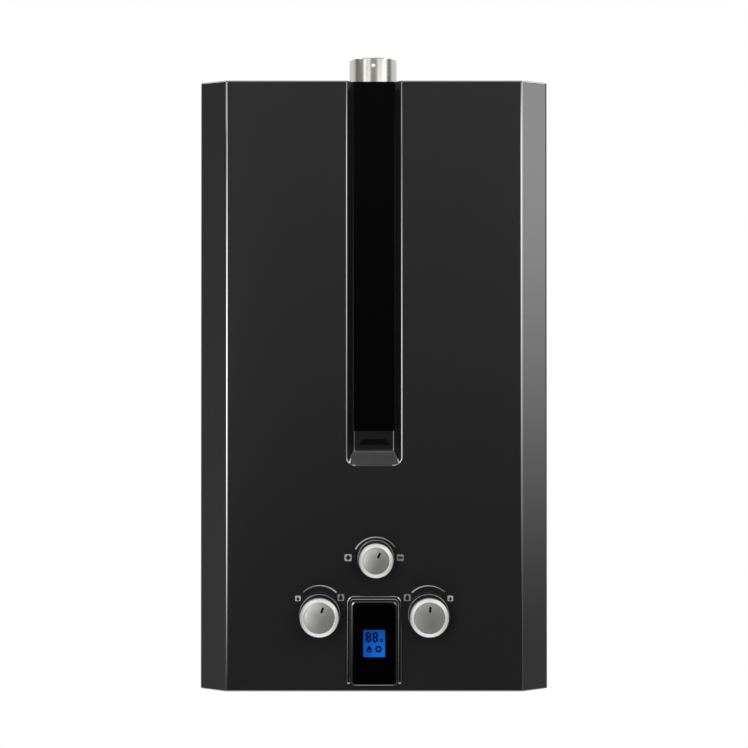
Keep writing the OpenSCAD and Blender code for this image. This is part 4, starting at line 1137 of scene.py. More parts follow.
    def build(self) -> None:
        """Makes the cover and cuts its window, spindle holes and display hole."""
        sheet = self.skin()
        front, behind = self.low.y - self.cutter_reach, self.low.y + self.cutter_reach
        cutter = MeshDraft("cover_cutter")
        cutter.plate([self.window()], front, behind + self.recess_d + self.cutter_reach)
        for node in ("gas_knob", "saver_knob", "water_knob"):
            low, high = box_mm(node)
            at = (low + high) / 2
            cutter.plate([circle((at.x, at.z), self.spindle_hole_r)], front, behind)
        hole = inset_box(*box_mm("lcd_panel"), -self.lcd_gap, self.lcd_corner_r, 2)
        cutter.plate([hole], front, behind)
        cut(sheet, cutter.done(ENAMEL))
        soften(sheet, sharp=22.0)
        self.dress(sheet)
        place(sheet, CASE_BODY, "cover_paint", "front_cover")

    def dress(self, sheet: Piece) -> None:
        """Gives the sides a satin powder coat and the front lit and shaded copies of the one
        enamel: a lighter flat panel (painted light), shinier darker bends that show as thin bright
        lines (painted highlight) and a darker recess (painted shade).

        Args:
            sheet: the cover.
        """
        coats_and_lit_copies = {}
        for finish in (SIDE_ENAMEL, RECESS_SHADED_ENAMEL, PANEL_LIT_ENAMEL, BEND_HIGHLIGHT_ENAMEL):
            coats_and_lit_copies[finish] = len(sheet.data.materials)
            sheet.data.materials.append(finish.material())
        for face in sheet.data.polygons:
            at, turn = face.center / MM, abs(face.normal.x)
            on_foot = abs(at.x) < self.recess_w / 2 - self.corner_r
            if turn > self.side_turn:
                face.material_index = coats_and_lit_copies[SIDE_ENAMEL]
            elif at.y > self.low.y + self.recess_d + self.lit_copy_margin:
                continue
            # Faces in the recess take the darker copy of the enamel: painted shade.
            elif self.depth(at.x, at.z) > self.press_skin[0 if on_foot else 1]:
                face.material_index = coats_and_lit_copies[RECESS_SHADED_ENAMEL]
            # The flat front takes the lighter copy of the enamel: painted light.
            elif face.normal.y < -self.flat_turn:
                face.material_index = coats_and_lit_copies[PANEL_LIT_ENAMEL]
            # The bends take the shinier, darker copy of the enamel: painted highlight.
            elif turn < self.bend_turn:
                face.material_index = coats_and_lit_copies[BEND_HIGHLIGHT_ENAMEL]


@dataclass
class RecessStrip:
    """The gloss strip on the recess floor."""

    corner_r: float = 1.0
    edge_r: float = 0.12
    flare: float = 1.4
    face_inset: float = 0.4

    def build(self) -> None:
        """Makes the strip."""
        low, high = box_mm("gloss_strip")
        edge, lip = self.edge_r, -self.flare
        levels = (
            (0.0, high.y), (lip, low.y + edge), (lip + 0.3 * edge, low.y + 0.3 * edge),
            (lip + edge, low.y), (lip + edge + self.face_inset, low.y),
        )
        rings = []
        for inset, y in levels:
            foot = (low.x + inset, low.z + max(inset, 0.0))
            rings.append(at_depth(rounded_box(foot, (high.x - inset, high.z), self.corner_r), y))
        draft = MeshDraft("recess_strip")
        draft.loft(rings, capped=True)
        place(draft.done(GLOSS_BLACK), CASE_BODY, "gloss_black", "gloss_strip")


@dataclass
class DisplayUnit:
    """The raised bezel, the gloss lens and the lit LCD with its segments.

    Attributes:
        rib_step: distance between the sections along the bezel's straight runs.
        rib_end: for each section of a round end, its share of the full section and how far
            it stands out, as a share of half the bezel's width.
        highlight_turn: least and greatest upright part of the normal on the lens's foot, where
            faces take a pale silver that stands in for a highlight.
        digit_at: the first digit's place from the screen's left and upper edge.
        degree_at: the degree ring's place from the screen's left edge and the digits' foot.
        flame_at: the flame's place from the screen's lower left corner.
        fan_at: the fan's place from the screen's lower left corner.
    """

    rib_w: float = 4.3
    rib_edge_r: float = 1.4
    rib_step: float = 8.0
    rib_end: tuple[Point2, ...] = ((0.03, 1.0), (0.5, 0.87), (0.8, 0.6), (0.95, 0.3))
    corner_r: float = 7.5
    lens_corner_r: float = 3.6
    lens_side: float = 0.7
    lens_slope_w: float = 1.3
    lens_gap: float = 0.15
    highlight_turn: Point2 = (-0.98, -0.4)
    frame_w: float = 1.5
    frame_h: float = 1.8
    screen_edge: float = 0.08
    digit_at: Point2 = (2.3, 1.9)
    digit_w: float = 5.7
    digit_h: float = 10.6
    digit_gap: float = 1.1
    stroke: float = 2.0
    stroke_gap: float = 0.08
    degree_at: Point2 = (18.2, 2.2)
    flame_at: Point2 = (5.9, 8.0)
    fan_at: Point2 = (15.2, 8.0)
    ink_t: float = 0.06

    def rib(self) -> None:
        """Makes the bezel's inverted U with round ends."""
        low, high = box_mm("display_bezel")
        half, proud = self.rib_w / 2, high.y - low.y
        r, edge, step = self.corner_r - half, self.rib_edge_r, self.rib_step
        left, right, foot, top = low.x + half, high.x - half, low.z + half, high.z - half

        def bend(x: float, start: float) -> list[tuple[Point2, Point2]]:
            """Gives a corner's points and normals from its middle and its first angle."""
            turn = span(start, start - math.pi / 2, math.pi / 24)[1:]
            normals = [(math.cos(a), math.sin(a)) for a in turn]
            return [((x + r * n[0], top - r + r * n[1]), n) for n in normals]

        path = [((left, z), (-1.0, 0.0)) for z in span(foot, top - r, step)]
        path += bend(left + r, math.pi)
        path += [((x, top), (0.0, 1.0)) for x in span(left + r, right - r, step)[1:]]
        path += bend(right - r, math.pi / 2)
        path += [((right, z), (1.0, 0.0)) for z in span(top - r, foot, step)[1:]]
        section = [(half, 0.0)]
        for a in span(0.0, math.pi / 2, math.pi / 14):
            section.append((half - edge + edge * math.cos(a), proud - edge + edge * math.sin(a)))
        section += [(-u, v) for u, v in reversed(section)]

        def end(x: float, side: float) -> list[list[Point3]]:
            """Gives a round end's sections, from its tip on."""
            return [
                [(x + side * share * u, high.y - share * v, foot - half * out) for u, v in section]
                for share, out in self.rib_end
            ]

        rings = end(left, -1.0)
        for (x, z), (nx, nz) in path:
            rings.append([(x + nx * u, high.y - v, z + nz * u) for u, v in section])
        rings += reversed(end(right, 1.0))
        draft = MeshDraft("display_rib")
        draft.loft(rings, capped=True)
        # The rib takes the bends' shinier, darker copy of the enamel, so that its edges show as
        # bright lines: painted highlight.
        place(draft.done(BEND_HIGHLIGHT_ENAMEL, sharp=70.0), CASE_BODY, "gloss_black", "display_bezel")

    def lens(self) -> None:
        """Makes the lens with its sloping edge and its opening for the LCD."""
        low, high = box_mm("display_lens")
        slope, shoulder = self.lens_slope_w, high.y - self.lens_side
        levels = (
            (0.0, high.y), (0.0, shoulder), (0.15, shoulder - 0.3), (slope - 0.2, low.y + 0.12),
            (slope, low.y + 0.03), (slope + 0.2, low.y), (slope + 0.7, low.y),
        )
        rings = []
        for inset, y in levels:
            corner_r = max(self.lens_corner_r - inset, 1.2)
            rings.append(at_depth(inset_box(low, high, inset, corner_r), y))
        hole = inset_box(*box_mm("lcd_panel"), -self.lens_gap, 0.3, 2)
        draft = MeshDraft("display_cover")
        outer = draft.loft(rings)
        inner = draft.loft([at_depth(hole, y) for y in (high.y, low.y)])
        draft.fill([outer[0], inner[0]])
        draft.fill([outer[-1], inner[-1]])
        cover = draft.done(GLOSS_BLACK, sharp=50.0)
        # The steep faces of the lens's foot take pale silver: painted highlight.
        cover.data.materials.append(FOOT_HIGHLIGHT_SILVER.material())
        for face in cover.data.polygons:
            steep = self.highlight_turn[0] < face.normal.z < self.highlight_turn[1]
            if steep and face.center.z / MM < low.z + slope:
                face.material_index = 1
        place(cover, CASE_BODY, "gloss_black", "display_lens")

    def lens_frame(self) -> None:
        """Makes the sloping frame around the lens."""
        low, high = box_mm("display_lens")
        w, h = self.frame_w, self.frame_h
        levels = (
            (w, 0.0), (w, 0.5 * h), (0.85 * w, 0.72 * h), (0.7 * w, 0.86 * h), (0.6 * w, 0.89 * h),
            (0.15 * w, 0.97 * h), (0.05, h), (0.02, 0.95 * h), (0.02, 0.0),
        )
        rings = []
        for grow, rise in levels:
            foot, head = (low.x - grow, low.z - 0.2 * grow), (high.x + grow, high.z + grow)
            outline = rounded_box(foot, head, self.lens_corner_r + grow)
            rings.append(at_depth(outline, high.y - rise))
        draft = MeshDraft("lens_frame")
        draft.loft([*rings, rings[0]])
        place(draft.done(ENAMEL, sharp=50.0), CASE_BODY, "gloss_black")

    def segments(self, x: float, z: float) -> list[list[Point2]]:
        """Gives the seven strokes of a digit that shows an eight.

        Args:
            x: left edge of the digit.
            z: foot of the digit.

        Returns:
            Six-cornered strokes as x and z.
        """
        w, h, half = self.digit_w, self.digit_h, self.stroke / 2

        def bar(start: float, end: float) -> list[Point2]:
            """Gives a stroke's corners along its length and across it."""
            a, b = start + self.stroke_gap, end - self.stroke_gap
            tips = [(a, 0.0), (a + half, -half), (b - half, -half), (b, 0.0)]
            return [*tips, (b - half, half), (a + half, half)]

        strokes = []
        for level in (half, h / 2, h - half):
            strokes.append([(u, z + level + v) for u, v in bar(x + half, x + w - half)])
        for column in (x + half, x + w - half):
            for z0, z1 in ((z + half, z + h / 2), (z + h / 2, z + h - half)):
                strokes.append([(column - v, u) for u, v in bar(z0, z1)])
        return strokes

    def screen(self) -> None:
        """Makes the lit panel and the signs on it."""
        low, high = box_mm("lcd_panel")
        edge = self.screen_edge
        levels = ((0.0, high.y), (0.0, low.y + edge), (edge, low.y), (4 * edge, low.y))
        lit = MeshDraft("lcd_screen")
        lit.loft(
            [at_depth(inset_box(low, high, inset, 0.4, 3), y) for inset, y in levels],
            capped=True,
        )
        place(lit.done(LCD_BLUE), CASE_BODY, "lcd", "lcd_panel")

        ink = MeshDraft("lcd_signs")
        face, back = low.y - self.ink_t, low.y + SINK
        left, foot = low.x + self.digit_at[0], high.z - self.digit_at[1] - self.digit_h
        for x in (left, left + self.digit_w + self.digit_gap):
            for stroke in self.segments(x, foot):
                ink.plate([stroke], face, back)
        degree = (low.x + self.degree_at[0], foot + self.degree_at[1])
        ink.plate([circle(degree, 1.7, 20), circle(degree, 0.75, 20)], face, back)
        flame = (low.x + self.flame_at[0], low.z + self.flame_at[1])
        ink.plate([drop(flame, 7.2), drop((flame[0], flame[1] - 1.3), 2.6)], face, back)
        fan = (low.x + self.fan_at[0], low.z + self.fan_at[1])
        ink.plate([circle(fan, 3.0, 28), circle(fan, 1.5, 28)], face, back)
        for nub in circle(fan, 3.2, 8):
            ink.plate([circle(nub, 0.65, 10)], face - 0.01, back)
        place(ink.done(LCD_INK), CASE_BODY, "lcd")

    def build(self) -> None:
        """Makes the bezel, the lens with its frame, and the screen."""
        self.rib()
        self.lens()
        self.lens_frame()
        self.screen()


class Sign(Enum):
    """Signs printed at the ends of a knob's scale."""

    PLUS = "more"
    MINUS = "less"
    LOW_FLAME = "low flame"
    HIGH_FLAME = "high flame"


@dataclass
class ControlKnob:
    """A knob's turned cap, its pointer and the scale printed around it.

    Attributes:
        name: stem of the knob's node names.
        body: the CAD body that turns.
        pointer: the pointer's angle at rest, clockwise from upright, in degrees.
        arc_lift: height of the printed arc's centre above the axis.
        arc_r: radius of the printed arc.
        arc: angles of the arc's left and right ends, clockwise from upright, in degrees.
        arc_w: widths of the arc at its left and right ends.
        signs: for each sign its kind, place from the axis and size.
    """

    name: str
    body: str
    pointer: float
    arc_lift: float
    arc_r: float
    arc: tuple[float, float]
    arc_w: tuple[float, float]
    signs: tuple[tuple[Sign, float, float, float], ...]
    rim_w: float = 3.8
    rim_h: float = 1.6
    step: float = 0.15
    dome: float = 0.85
    pointer_w: float = 2.3
    pointer_l: float = 5.8
    pointer_in: float = 8.1
    pointer_d: float = 0.5
    pointer_gap: float = 0.03
    ink_drop: float = 0.15
    print_t: float = 0.08
    low: Vector = field(init=False)
    high: Vector = field(init=False)
    r: float = field(init=False)
    cx: float = field(init=False)
    cz: float = field(init=False)
    panel_y: float = field(init=False)

    def __post_init__(self) -> None:
        """Reads the knob's place from the frame."""
        self.low, self.high = box_mm(f"{self.name}_cap")
        self.r = (self.high.x - self.low.x) / 2
        self.cx = (self.low.x + self.high.x) / 2
        self.cz = (self.low.z + self.high.z) / 2
        self.panel_y = box_mm("front_cover")[0].y

    def cap_finish(self) -> Finish:
        """Gives the satin face of turned aluminium, ringed about the knob's own axis."""
        # The turning marks are drawn coarser than the real 0.1 mm feed, so that they show.
        return Finish(
            f"turned_aluminium_{self.name}", "#b4b4b1", "#a6a6a2", metallic=1.0, roughness=0.36,
            spread=0.04, pattern=Pattern.TURNED, grain=0.9, relief=0.004, anisotropy=0.2,
            axis=(self.cx, self.low.y, self.cz),
        )

    def turned(self, at: float, r: float) -> Point2:
        """Gives the panel point at an angle clockwise from upright and a radius."""
        a = math.radians(at)
        return self.cx + r * math.sin(a), self.cz + r * math.cos(a)

    def pointer_outline(self, grow: float) -> list[Point2]:
        """Gives the pointer slot's corners as x and z, moved out by grow."""
        out_r = self.r - self.pointer_in + grow
        in_r = out_r - self.pointer_l - 2 * grow
        half = self.pointer_w / 2 + grow
        a = math.radians(self.pointer)
        along, across = Vector((math.sin(a), math.cos(a))), Vector((math.cos(a), -math.sin(a)))
        axis = Vector((self.cx, self.cz))
        corners = [(in_r, -half), (in_r, half), (out_r, half), (out_r, -half)]
        return [tuple(axis + along * u + across * v) for u, v in corners]

    def cap(self) -> None:
        """Makes the cap with its chamfered rim, and the inked pointer in its slot."""
        thick = self.high.y - self.low.y
        face_r = self.r - self.rim_w
        profile = [(r, thick - self.step - self.dome * (r / face_r) ** 2)
                   for r in span(0.0, face_r - 0.4, 2.0)]
        profile += [
            (face_r - 0.15, thick - 0.5 * self.dome), (face_r, thick - 0.05),
            (face_r + 0.3, thick), (face_r + 0.6, thick - 0.12),
            (self.r - 0.45, thick - self.rim_h + 0.3), (self.r - 0.12, thick - self.rim_h - 0.1),
            (self.r, thick - self.rim_h - 0.5), (self.r, 0.3), (self.r - 0.25, 0.0), (0.0, 0.0),
        ]
        draft = MeshDraft(f"{self.name}_turned_cap")
        draft.lathe(profile, (self.cx, self.high.y, self.cz), Axis.FRONT, 128)
        cap = draft.done(self.cap_finish(), sharp=30.0)
        face_y = self.low.y + self.step + 0.5 * self.dome
        slot = MeshDraft("pointer_cutter")
        slot.plate([self.pointer_outline(0.0)], self.low.y - 1.0, face_y + self.pointer_d)
        cut(cap, slot.done(POINTER_INK))
        soften(cap, sharp=30.0)
        cap.data.materials.append(BLASTED_ALUMINIUM.material())
        for face in cap.data.polygons:
            at = face.center / MM
            if math.hypot(at.x - self.cx, at.z - self.cz) > face_r:
                face.material_index = len(cap.data.materials) - 1
        place(cap, self.body, "cap_silver", f"{self.name}_cap")
        ink = MeshDraft(f"{self.name}_pointer")
        inked = self.pointer_outline(-self.pointer_gap)
        ink.plate([inked], face_y + self.ink_drop, face_y + self.pointer_d)
        place(ink.done(POINTER_INK), self.body, "black_plastic")

    def scale(self) -> None:
        """Makes the printed arc and the signs at its ends."""
        draft = MeshDraft(f"{self.name}_scale")
        face, back = self.panel_y - self.print_t, self.panel_y + SINK
        outer, inner = [], []
        angles = span(self.arc[0], self.arc[1], 3.0)
        for i, a in enumerate(angles):
            t = i / (len(angles) - 1)
            half = (self.arc_w[0] * (1 - t) + self.arc_w[1] * t) / 2
            for row, r in ((outer, self.arc_r + half), (inner, self.arc_r - half)):
                x, z = self.turned(a, r)
                row.append((x, z + self.arc_lift))
        draft.plate([outer + inner[::-1]], face, back)
        thin = MeshDraft(f"{self.name}_thin_signs")
        for sign, dx, dz, size in self.signs:
            at, half = (self.cx + dx, self.cz + dz), size / 2
            low, high = (at[0] - half, at[1] - half), (at[0] + half, at[1] + half)
            square = rounded_box(low, high, 0.17 * size, 4)
            sheet = thin if sign in (Sign.MINUS, Sign.HIGH_FLAME) else draft
            sheet.plate([square, self.sign_hole(sign, at, size)], face, back)
        place(draft.done(PRINT_INK), CASE_BODY, "cap_silver")
        place(thin.done(THIN_INK), CASE_BODY, "cap_silver")

    def sign_hole(self, sign: Sign, at: Point2, size: float) -> list[Point2]:
        """Gives the outline left bare inside a printed square.

        Args:
            sign: what the square shows.
            at: the square's middle.
            size: the square's side.

        Returns:
            The outline as x and z.
        """
        arm, bar = 0.36 * size, 0.165 * size
        if sign is Sign.LOW_FLAME:
            return drop((at[0], at[1] - 0.04 * size), 0.72 * size)
        if sign is Sign.HIGH_FLAME:
            return drop((at[0], at[1] + 0.02 * size), 0.86 * size)
        if sign is Sign.MINUS:
            low, high = (at[0] - arm, at[1] - bar), (at[0] + arm, at[1] + bar)
            return rounded_box(low, high, 0.05 * size, 2)
        return cross(at, arm, bar)

    def build(self) -> None:
        """Makes the cap and the scale."""
        self.cap()
        self.scale()


@dataclass
class KnobPanel:
    """The three knobs and the trim rings at their feet."""

    ring_gap: float = 0.3
    ring_w: float = 0.9
    knobs: list[ControlKnob] = field(init=False)

    def __post_init__(self) -> None:
        """Sets out the three knobs with their scales."""
        self.knobs = [
            ControlKnob(
                "gas_knob", "gas_control", 21.0, 5.2, 23.8, (-43.0, 45.0), (0.35, 1.5),
                ((Sign.LOW_FLAME, -21.7, 16.2, 5.5), (Sign.HIGH_FLAME, 21.2, 17.0, 6.6)),
            ),
            ControlKnob(
                "saver_knob", "saver_control", 28.0, -2.0, 23.1, (-62.0, 57.0), (1.5, 0.35),
                ((Sign.PLUS, -27.7, 0.6, 6.9), (Sign.MINUS, 24.4, 0.6, 6.7)),
            ),
            ControlKnob(
                "water_knob", "water_control", 5.0, 4.6, 24.2, (-44.0, 42.0), (1.5, 0.35),
                ((Sign.HIGH_FLAME, -21.4, 17.0, 6.7), (Sign.LOW_FLAME, 21.7, 16.2, 5.5)),
            ),
        ]

    def rings(self) -> None:
        """Makes the round-topped trim rings."""
        low, high = box_mm("knob_rings")
        proud, half = high.y - low.y, self.ring_w / 2
        draft = MeshDraft("knob_trim")
        for knob in self.knobs:
            middle = knob.r + self.ring_gap + half
            side = [(half, -SINK), (half, 0.55 * proud), (0.7 * half, 0.88 * proud)]
            section = [*side, (0.0, proud), *((-u, h) for u, h in reversed(side)), side[0]]
            profile = [(middle + u, h) for u, h in section]
            draft.lathe(profile, (knob.cx, high.y, knob.cz), Axis.FRONT)
        # The rings' pale metal stands in for the highlight on their round tops: painted highlight.
        place(draft.done(RING_HIGHLIGHT_METAL, sharp=60.0), CASE_BODY, "steel", "knob_rings")

    def build(self) -> None:
        """Makes the knobs and their rings."""
        for knob in self.knobs:
            knob.build()
        self.rings()


@dataclass
class FlueCollar:
    """The drawn collar with its flange, its stop bead and its duct screw hole.

    Attributes:
        edge_r: radius of the flange's edges.
        root_r: radius of the fillet between flange and wall.
        root_mid: a point on that fillet, out from the wall and up from the flange.
        mouth_r: radius of the mouth's edges.
        inset: how far a ring is set in from a rounding, so that the reflections on the
            straight wall stay straight.
        bead_inset: the same at the bead.
    """

    r: float = 25.0
    wall: float = 0.8
    flange_t: float = 1.5
    spigot_h: float = 12.0
    plate_t: float = 1.0
    bead_rise: float = 7.8
    bead_out: float = 1.5
    bead_h: float = 1.5
    hole_r: float = 2.0
    hole_drop: float = 8.3
    drill_reach: float = 5.0
    edge_r: float = 0.3
    root_r: float = 1.2
    root_mid: Point2 = (0.4, 0.35)
    mouth_r: float = 0.4
    inset: float = 0.5
    bead_inset: float = 0.4

    def build(self) -> None:
        """Turns the collar and drills its hole."""
        low, high = box_mm("flue_collar")
        middle = ((low.x + high.x) / 2, (low.y + high.y) / 2, 0.0)
        rim, r, wall_r = (high.x - low.x) / 2, self.r, self.r - self.wall
        seat = low.z + self.spigot_h + self.plate_t
        top, bead = seat + self.flange_t, seat + self.bead_rise
        edge, root, mouth, inset = self.edge_r, self.root_r, self.mouth_r, self.inset
        profile = [
            (r, low.z), (r, seat), (rim - edge, seat), (rim, seat + edge), (rim, top - edge),
            (rim - edge, top), (rim - edge - inset, top), (r + root + inset, top), (r + root, top),
            (r + self.root_mid[0], top + self.root_mid[1]), (r, top + root),
            (r, top + root + inset), (r, bead - self.bead_h - self.bead_inset),
        ]
        for t in span(-1.0, 1.0, 0.2):
            swell = self.bead_out * math.cos(math.pi / 2 * t) ** 2
            profile.append((r + swell, bead + self.bead_h * t))
        profile += [
            (r, bead + self.bead_h + self.bead_inset), (r, high.z - mouth - inset),
            (r, high.z - mouth), (r - 0.3 * mouth, high.z - 0.25 * mouth), (r - mouth, high.z),
            (wall_r + 0.3 * mouth, high.z - 0.25 * mouth), (wall_r, high.z - mouth),
            (wall_r, high.z - mouth - inset), (wall_r, low.z), (r, low.z),
        ]
        draft = MeshDraft("flue_spigot")
        draft.lathe(profile, middle, Axis.UP, 160)
        collar = draft.done(DRAWN_STEEL, sharp=35.0)
        drill = MeshDraft("collar_drill")
        hole = circle((middle[0], high.z - self.hole_drop), self.hole_r, 32)
        drill.plate([hole], low.y - self.drill_reach, middle[1])
        cut(collar, drill.done(DRAWN_STEEL))
        soften(collar, sharp=35.0)
        place(collar, CASE_BODY, "flue_steel", "flue_collar")


@dataclass
class Connections:
    """The brass gas and water connections below the case."""

    xs: tuple[float, ...] = (-125.0, -54.5, 54.5)
    thread_r: float = 10.48
    pitch: float = 1.814
    ridge_r: float = 0.62
    core_r: float = 9.5
    bore_r: float = 5.5
    stub_l: float = 14.8
    hexagon_t: float = 4.0
    across: float = 27.96
    chamfer_h: float = 1.25
    lead_in: float = 0.7
    edge_w: float = 0.5
    run_out: float = 1.5
    low: Vector = field(init=False)
    high: Vector = field(init=False)
    y: float = field(init=False)
    hex_z: float = field(init=False)

    def __post_init__(self) -> None:
        """Reads the connections' place from the frame."""
        self.low, self.high = box_mm("pipe_fittings")
        self.y = (self.low.y + self.high.y) / 2
        self.hex_z = self.low.z + self.stub_l

    def barrels(self) -> None:
        """Makes the barrels with their chamfered hexagons."""
        draft = MeshDraft("connection_barrels")
        top, foot, seat = self.high.z, self.low.z, self.hex_z
        core, bore, pipe = self.core_r, self.bore_r, self.thread_r
        lead, edge = self.lead_in, self.edge_w
        profile = [
            (core - lead, foot), (core, foot + lead), (core, seat + edge), (pipe, seat + 2 * edge),
            (pipe, top - edge), (pipe - edge, top), (bore, top), (bore, foot + edge),
            (bore + edge, foot), (core - lead, foot),
        ]
        flat, corner = self.across / 2 - 0.2, self.across / 2 / math.cos(math.pi / 6)
        levels = [(flat + (corner - flat) * t, seat + self.chamfer_h * t)
                  for t in span(0.0, 1.0, 0.25)]
        levels.append((corner, seat + self.hexagon_t))
        inner = circle((0.0, 0.0), core - 0.4, 72)
        rows = [(hexagon(self.across, limit), z) for limit, z in levels]
        rows = [(inner, seat), *rows, (inner, seat + self.hexagon_t)]
        for x in self.xs:
            draft.lathe(profile, (x, self.y, 0.0), Axis.UP, 72)
            draft.ring(Vector((x, self.y)), rows)
        place(draft.done(BRASS, sharp=28.0), CASE_BODY, "brass", "pipe_fittings")

    def threads(self) -> None:
        """Makes the helical ridges of the three pipe threads."""
        number = "NodeSocketFloat"
        tree, start = new_tree(
            "thread_ridges",
            {"Turns": number, "Radius": number, "Height": number, "Ridge": number,
             "Finish": "NodeSocketMaterial"},
        )
        given = start.outputs
        helix = add_node(
            tree,
            "GeometryNodeCurveSpiral",
            {"Resolution": 48, "Rotations": given["Turns"], "Start Radius": given["Radius"],
             "End Radius": given["Radius"], "Height": given["Height"]},
        )
        ridge = sweep(tree, helix.outputs["Curve"], given["Ridge"], 8)
        spread = add_node(
            tree, "GeometryNodeInstanceOnPoints", {"Points": given["Geometry"], "Instance": ridge}
        )
        end_tree(tree, spread.outputs["Instances"], given["Finish"])
        draft = MeshDraft("connection_threads")
        for x in self.xs:
            draft.bm.verts.new((x, self.y, self.low.z + self.run_out))
        length = self.stub_l - 2 * self.run_out
        threads = draft.done(BRASS)
        grow(threads, tree, {
            "Turns": length / self.pitch, "Radius": (self.thread_r - self.ridge_r) * MM,
            "Height": length * MM, "Ridge": self.ridge_r * MM, "Finish": BRASS.material(),
        })
        soften(threads, sharp=60.0)
        place(threads, CASE_BODY, "brass")

    def build(self) -> None:
        """Makes the barrels and their threads."""
        self.barrels()
        self.threads()


@dataclass
class Fasteners:
    """Pan-head screws with a cross recess, on the cover's sides and the collar's flange."""

    head_r: float = 4.0
    head_t: float = 2.2
    shank_r: float = 2.0
    shank_l: float = 8.0
    tip_w: float = 0.6
    recess_l: float = 4.2
    recess_w: float = 1.0
    recess_d: float = 1.2
    side_x: float = 175.0
    side_y: float = -12.0
    side_zs: tuple[float, ...] = (-204.0, 0.0, 204.0)
    flange_z: float = 306.7
    flange_r: float = 34.0

    def screw(self) -> Piece:
        """Makes one screw that stands at the origin and faces up.

        Returns:
            The screw.
        """
        draft = MeshDraft("screw_pattern")
        r, t, shank, tip = self.head_r, self.head_t, self.shank_r, -self.shank_l
        profile = [
            (0.0, t), (0.4 * r, t), (0.65 * r, 0.94 * t), (0.85 * r, 0.78 * t),
            (0.96 * r, 0.56 * t), (r, 0.32 * t), (r, 0.0), (shank, 0.0), (shank, tip + self.tip_w),
            (shank - self.tip_w, tip), (0.0, tip),
        ]
        axis = Vector((0.0, 0.0, 0.0))
        draft.lathe(profile, tuple(axis), Axis.UP, 40)
        screw = draft.done(PLATED_STEEL, sharp=45.0)
        cutter = MeshDraft("cross_cutter")
        recess = cross((0.0, 0.0), self.recess_l / 2, self.recess_w / 2)
        levels = (t - self.recess_d, t + 1.0)
        cutter.loft([at_height(recess, axis, z) for z in levels], capped=True)
        cut(screw, cutter.done(PLATED_STEEL))
        return screw

    def build(self) -> None:
        """Sets a screw on each of its seats."""
        tree, start = new_tree(
            "screw_pattern", {"Screw": "NodeSocketObject", "Finish": "NodeSocketMaterial"}
        )
        facing = add_node(
            tree, "GeometryNodeInputNamedAttribute", {"Name": "facing"}, data_type="FLOAT_VECTOR"
        )
        turn = add_node(
            tree,
            "FunctionNodeAlignRotationToVector",
            {"Vector": facing.outputs["Attribute"]},
            axis="Z",
        )
        one = add_node(tree, "GeometryNodeObjectInfo", {"Object": start.outputs["Screw"]})
        spread = add_node(
            tree,
            "GeometryNodeInstanceOnPoints",
            {"Points": start.outputs["Geometry"], "Instance": one.outputs["Geometry"],
             "Rotation": turn.outputs["Rotation"]},
        )
        end_tree(tree, spread.outputs["Instances"], start.outputs["Finish"])
        low, high = box_mm("flue_collar")
        middle = (low + high) / 2
        draft = MeshDraft("case_screws")
        way = draft.bm.verts.layers.float_vector.new("facing")
        for side in (-1.0, 1.0):
            for z in self.side_zs:
                draft.bm.verts.new((side * self.side_x, self.side_y, z))[way] = (side, 0.0, 0.0)
        for x, y in circle((middle.x, middle.y), self.flange_r, 4):
            draft.bm.verts.new((x, y, self.flange_z))[way] = (0.0, 0.0, 1.0)
        screws = draft.done(PLATED_STEEL)
        pattern = self.screw()
        grow(screws, tree, {"Screw": pattern, "Finish": PLATED_STEEL.material()})
        bpy.data.objects.remove(pattern)
        soften(screws, sharp=45.0)
        place(screws, CASE_BODY, "steel", "screws")


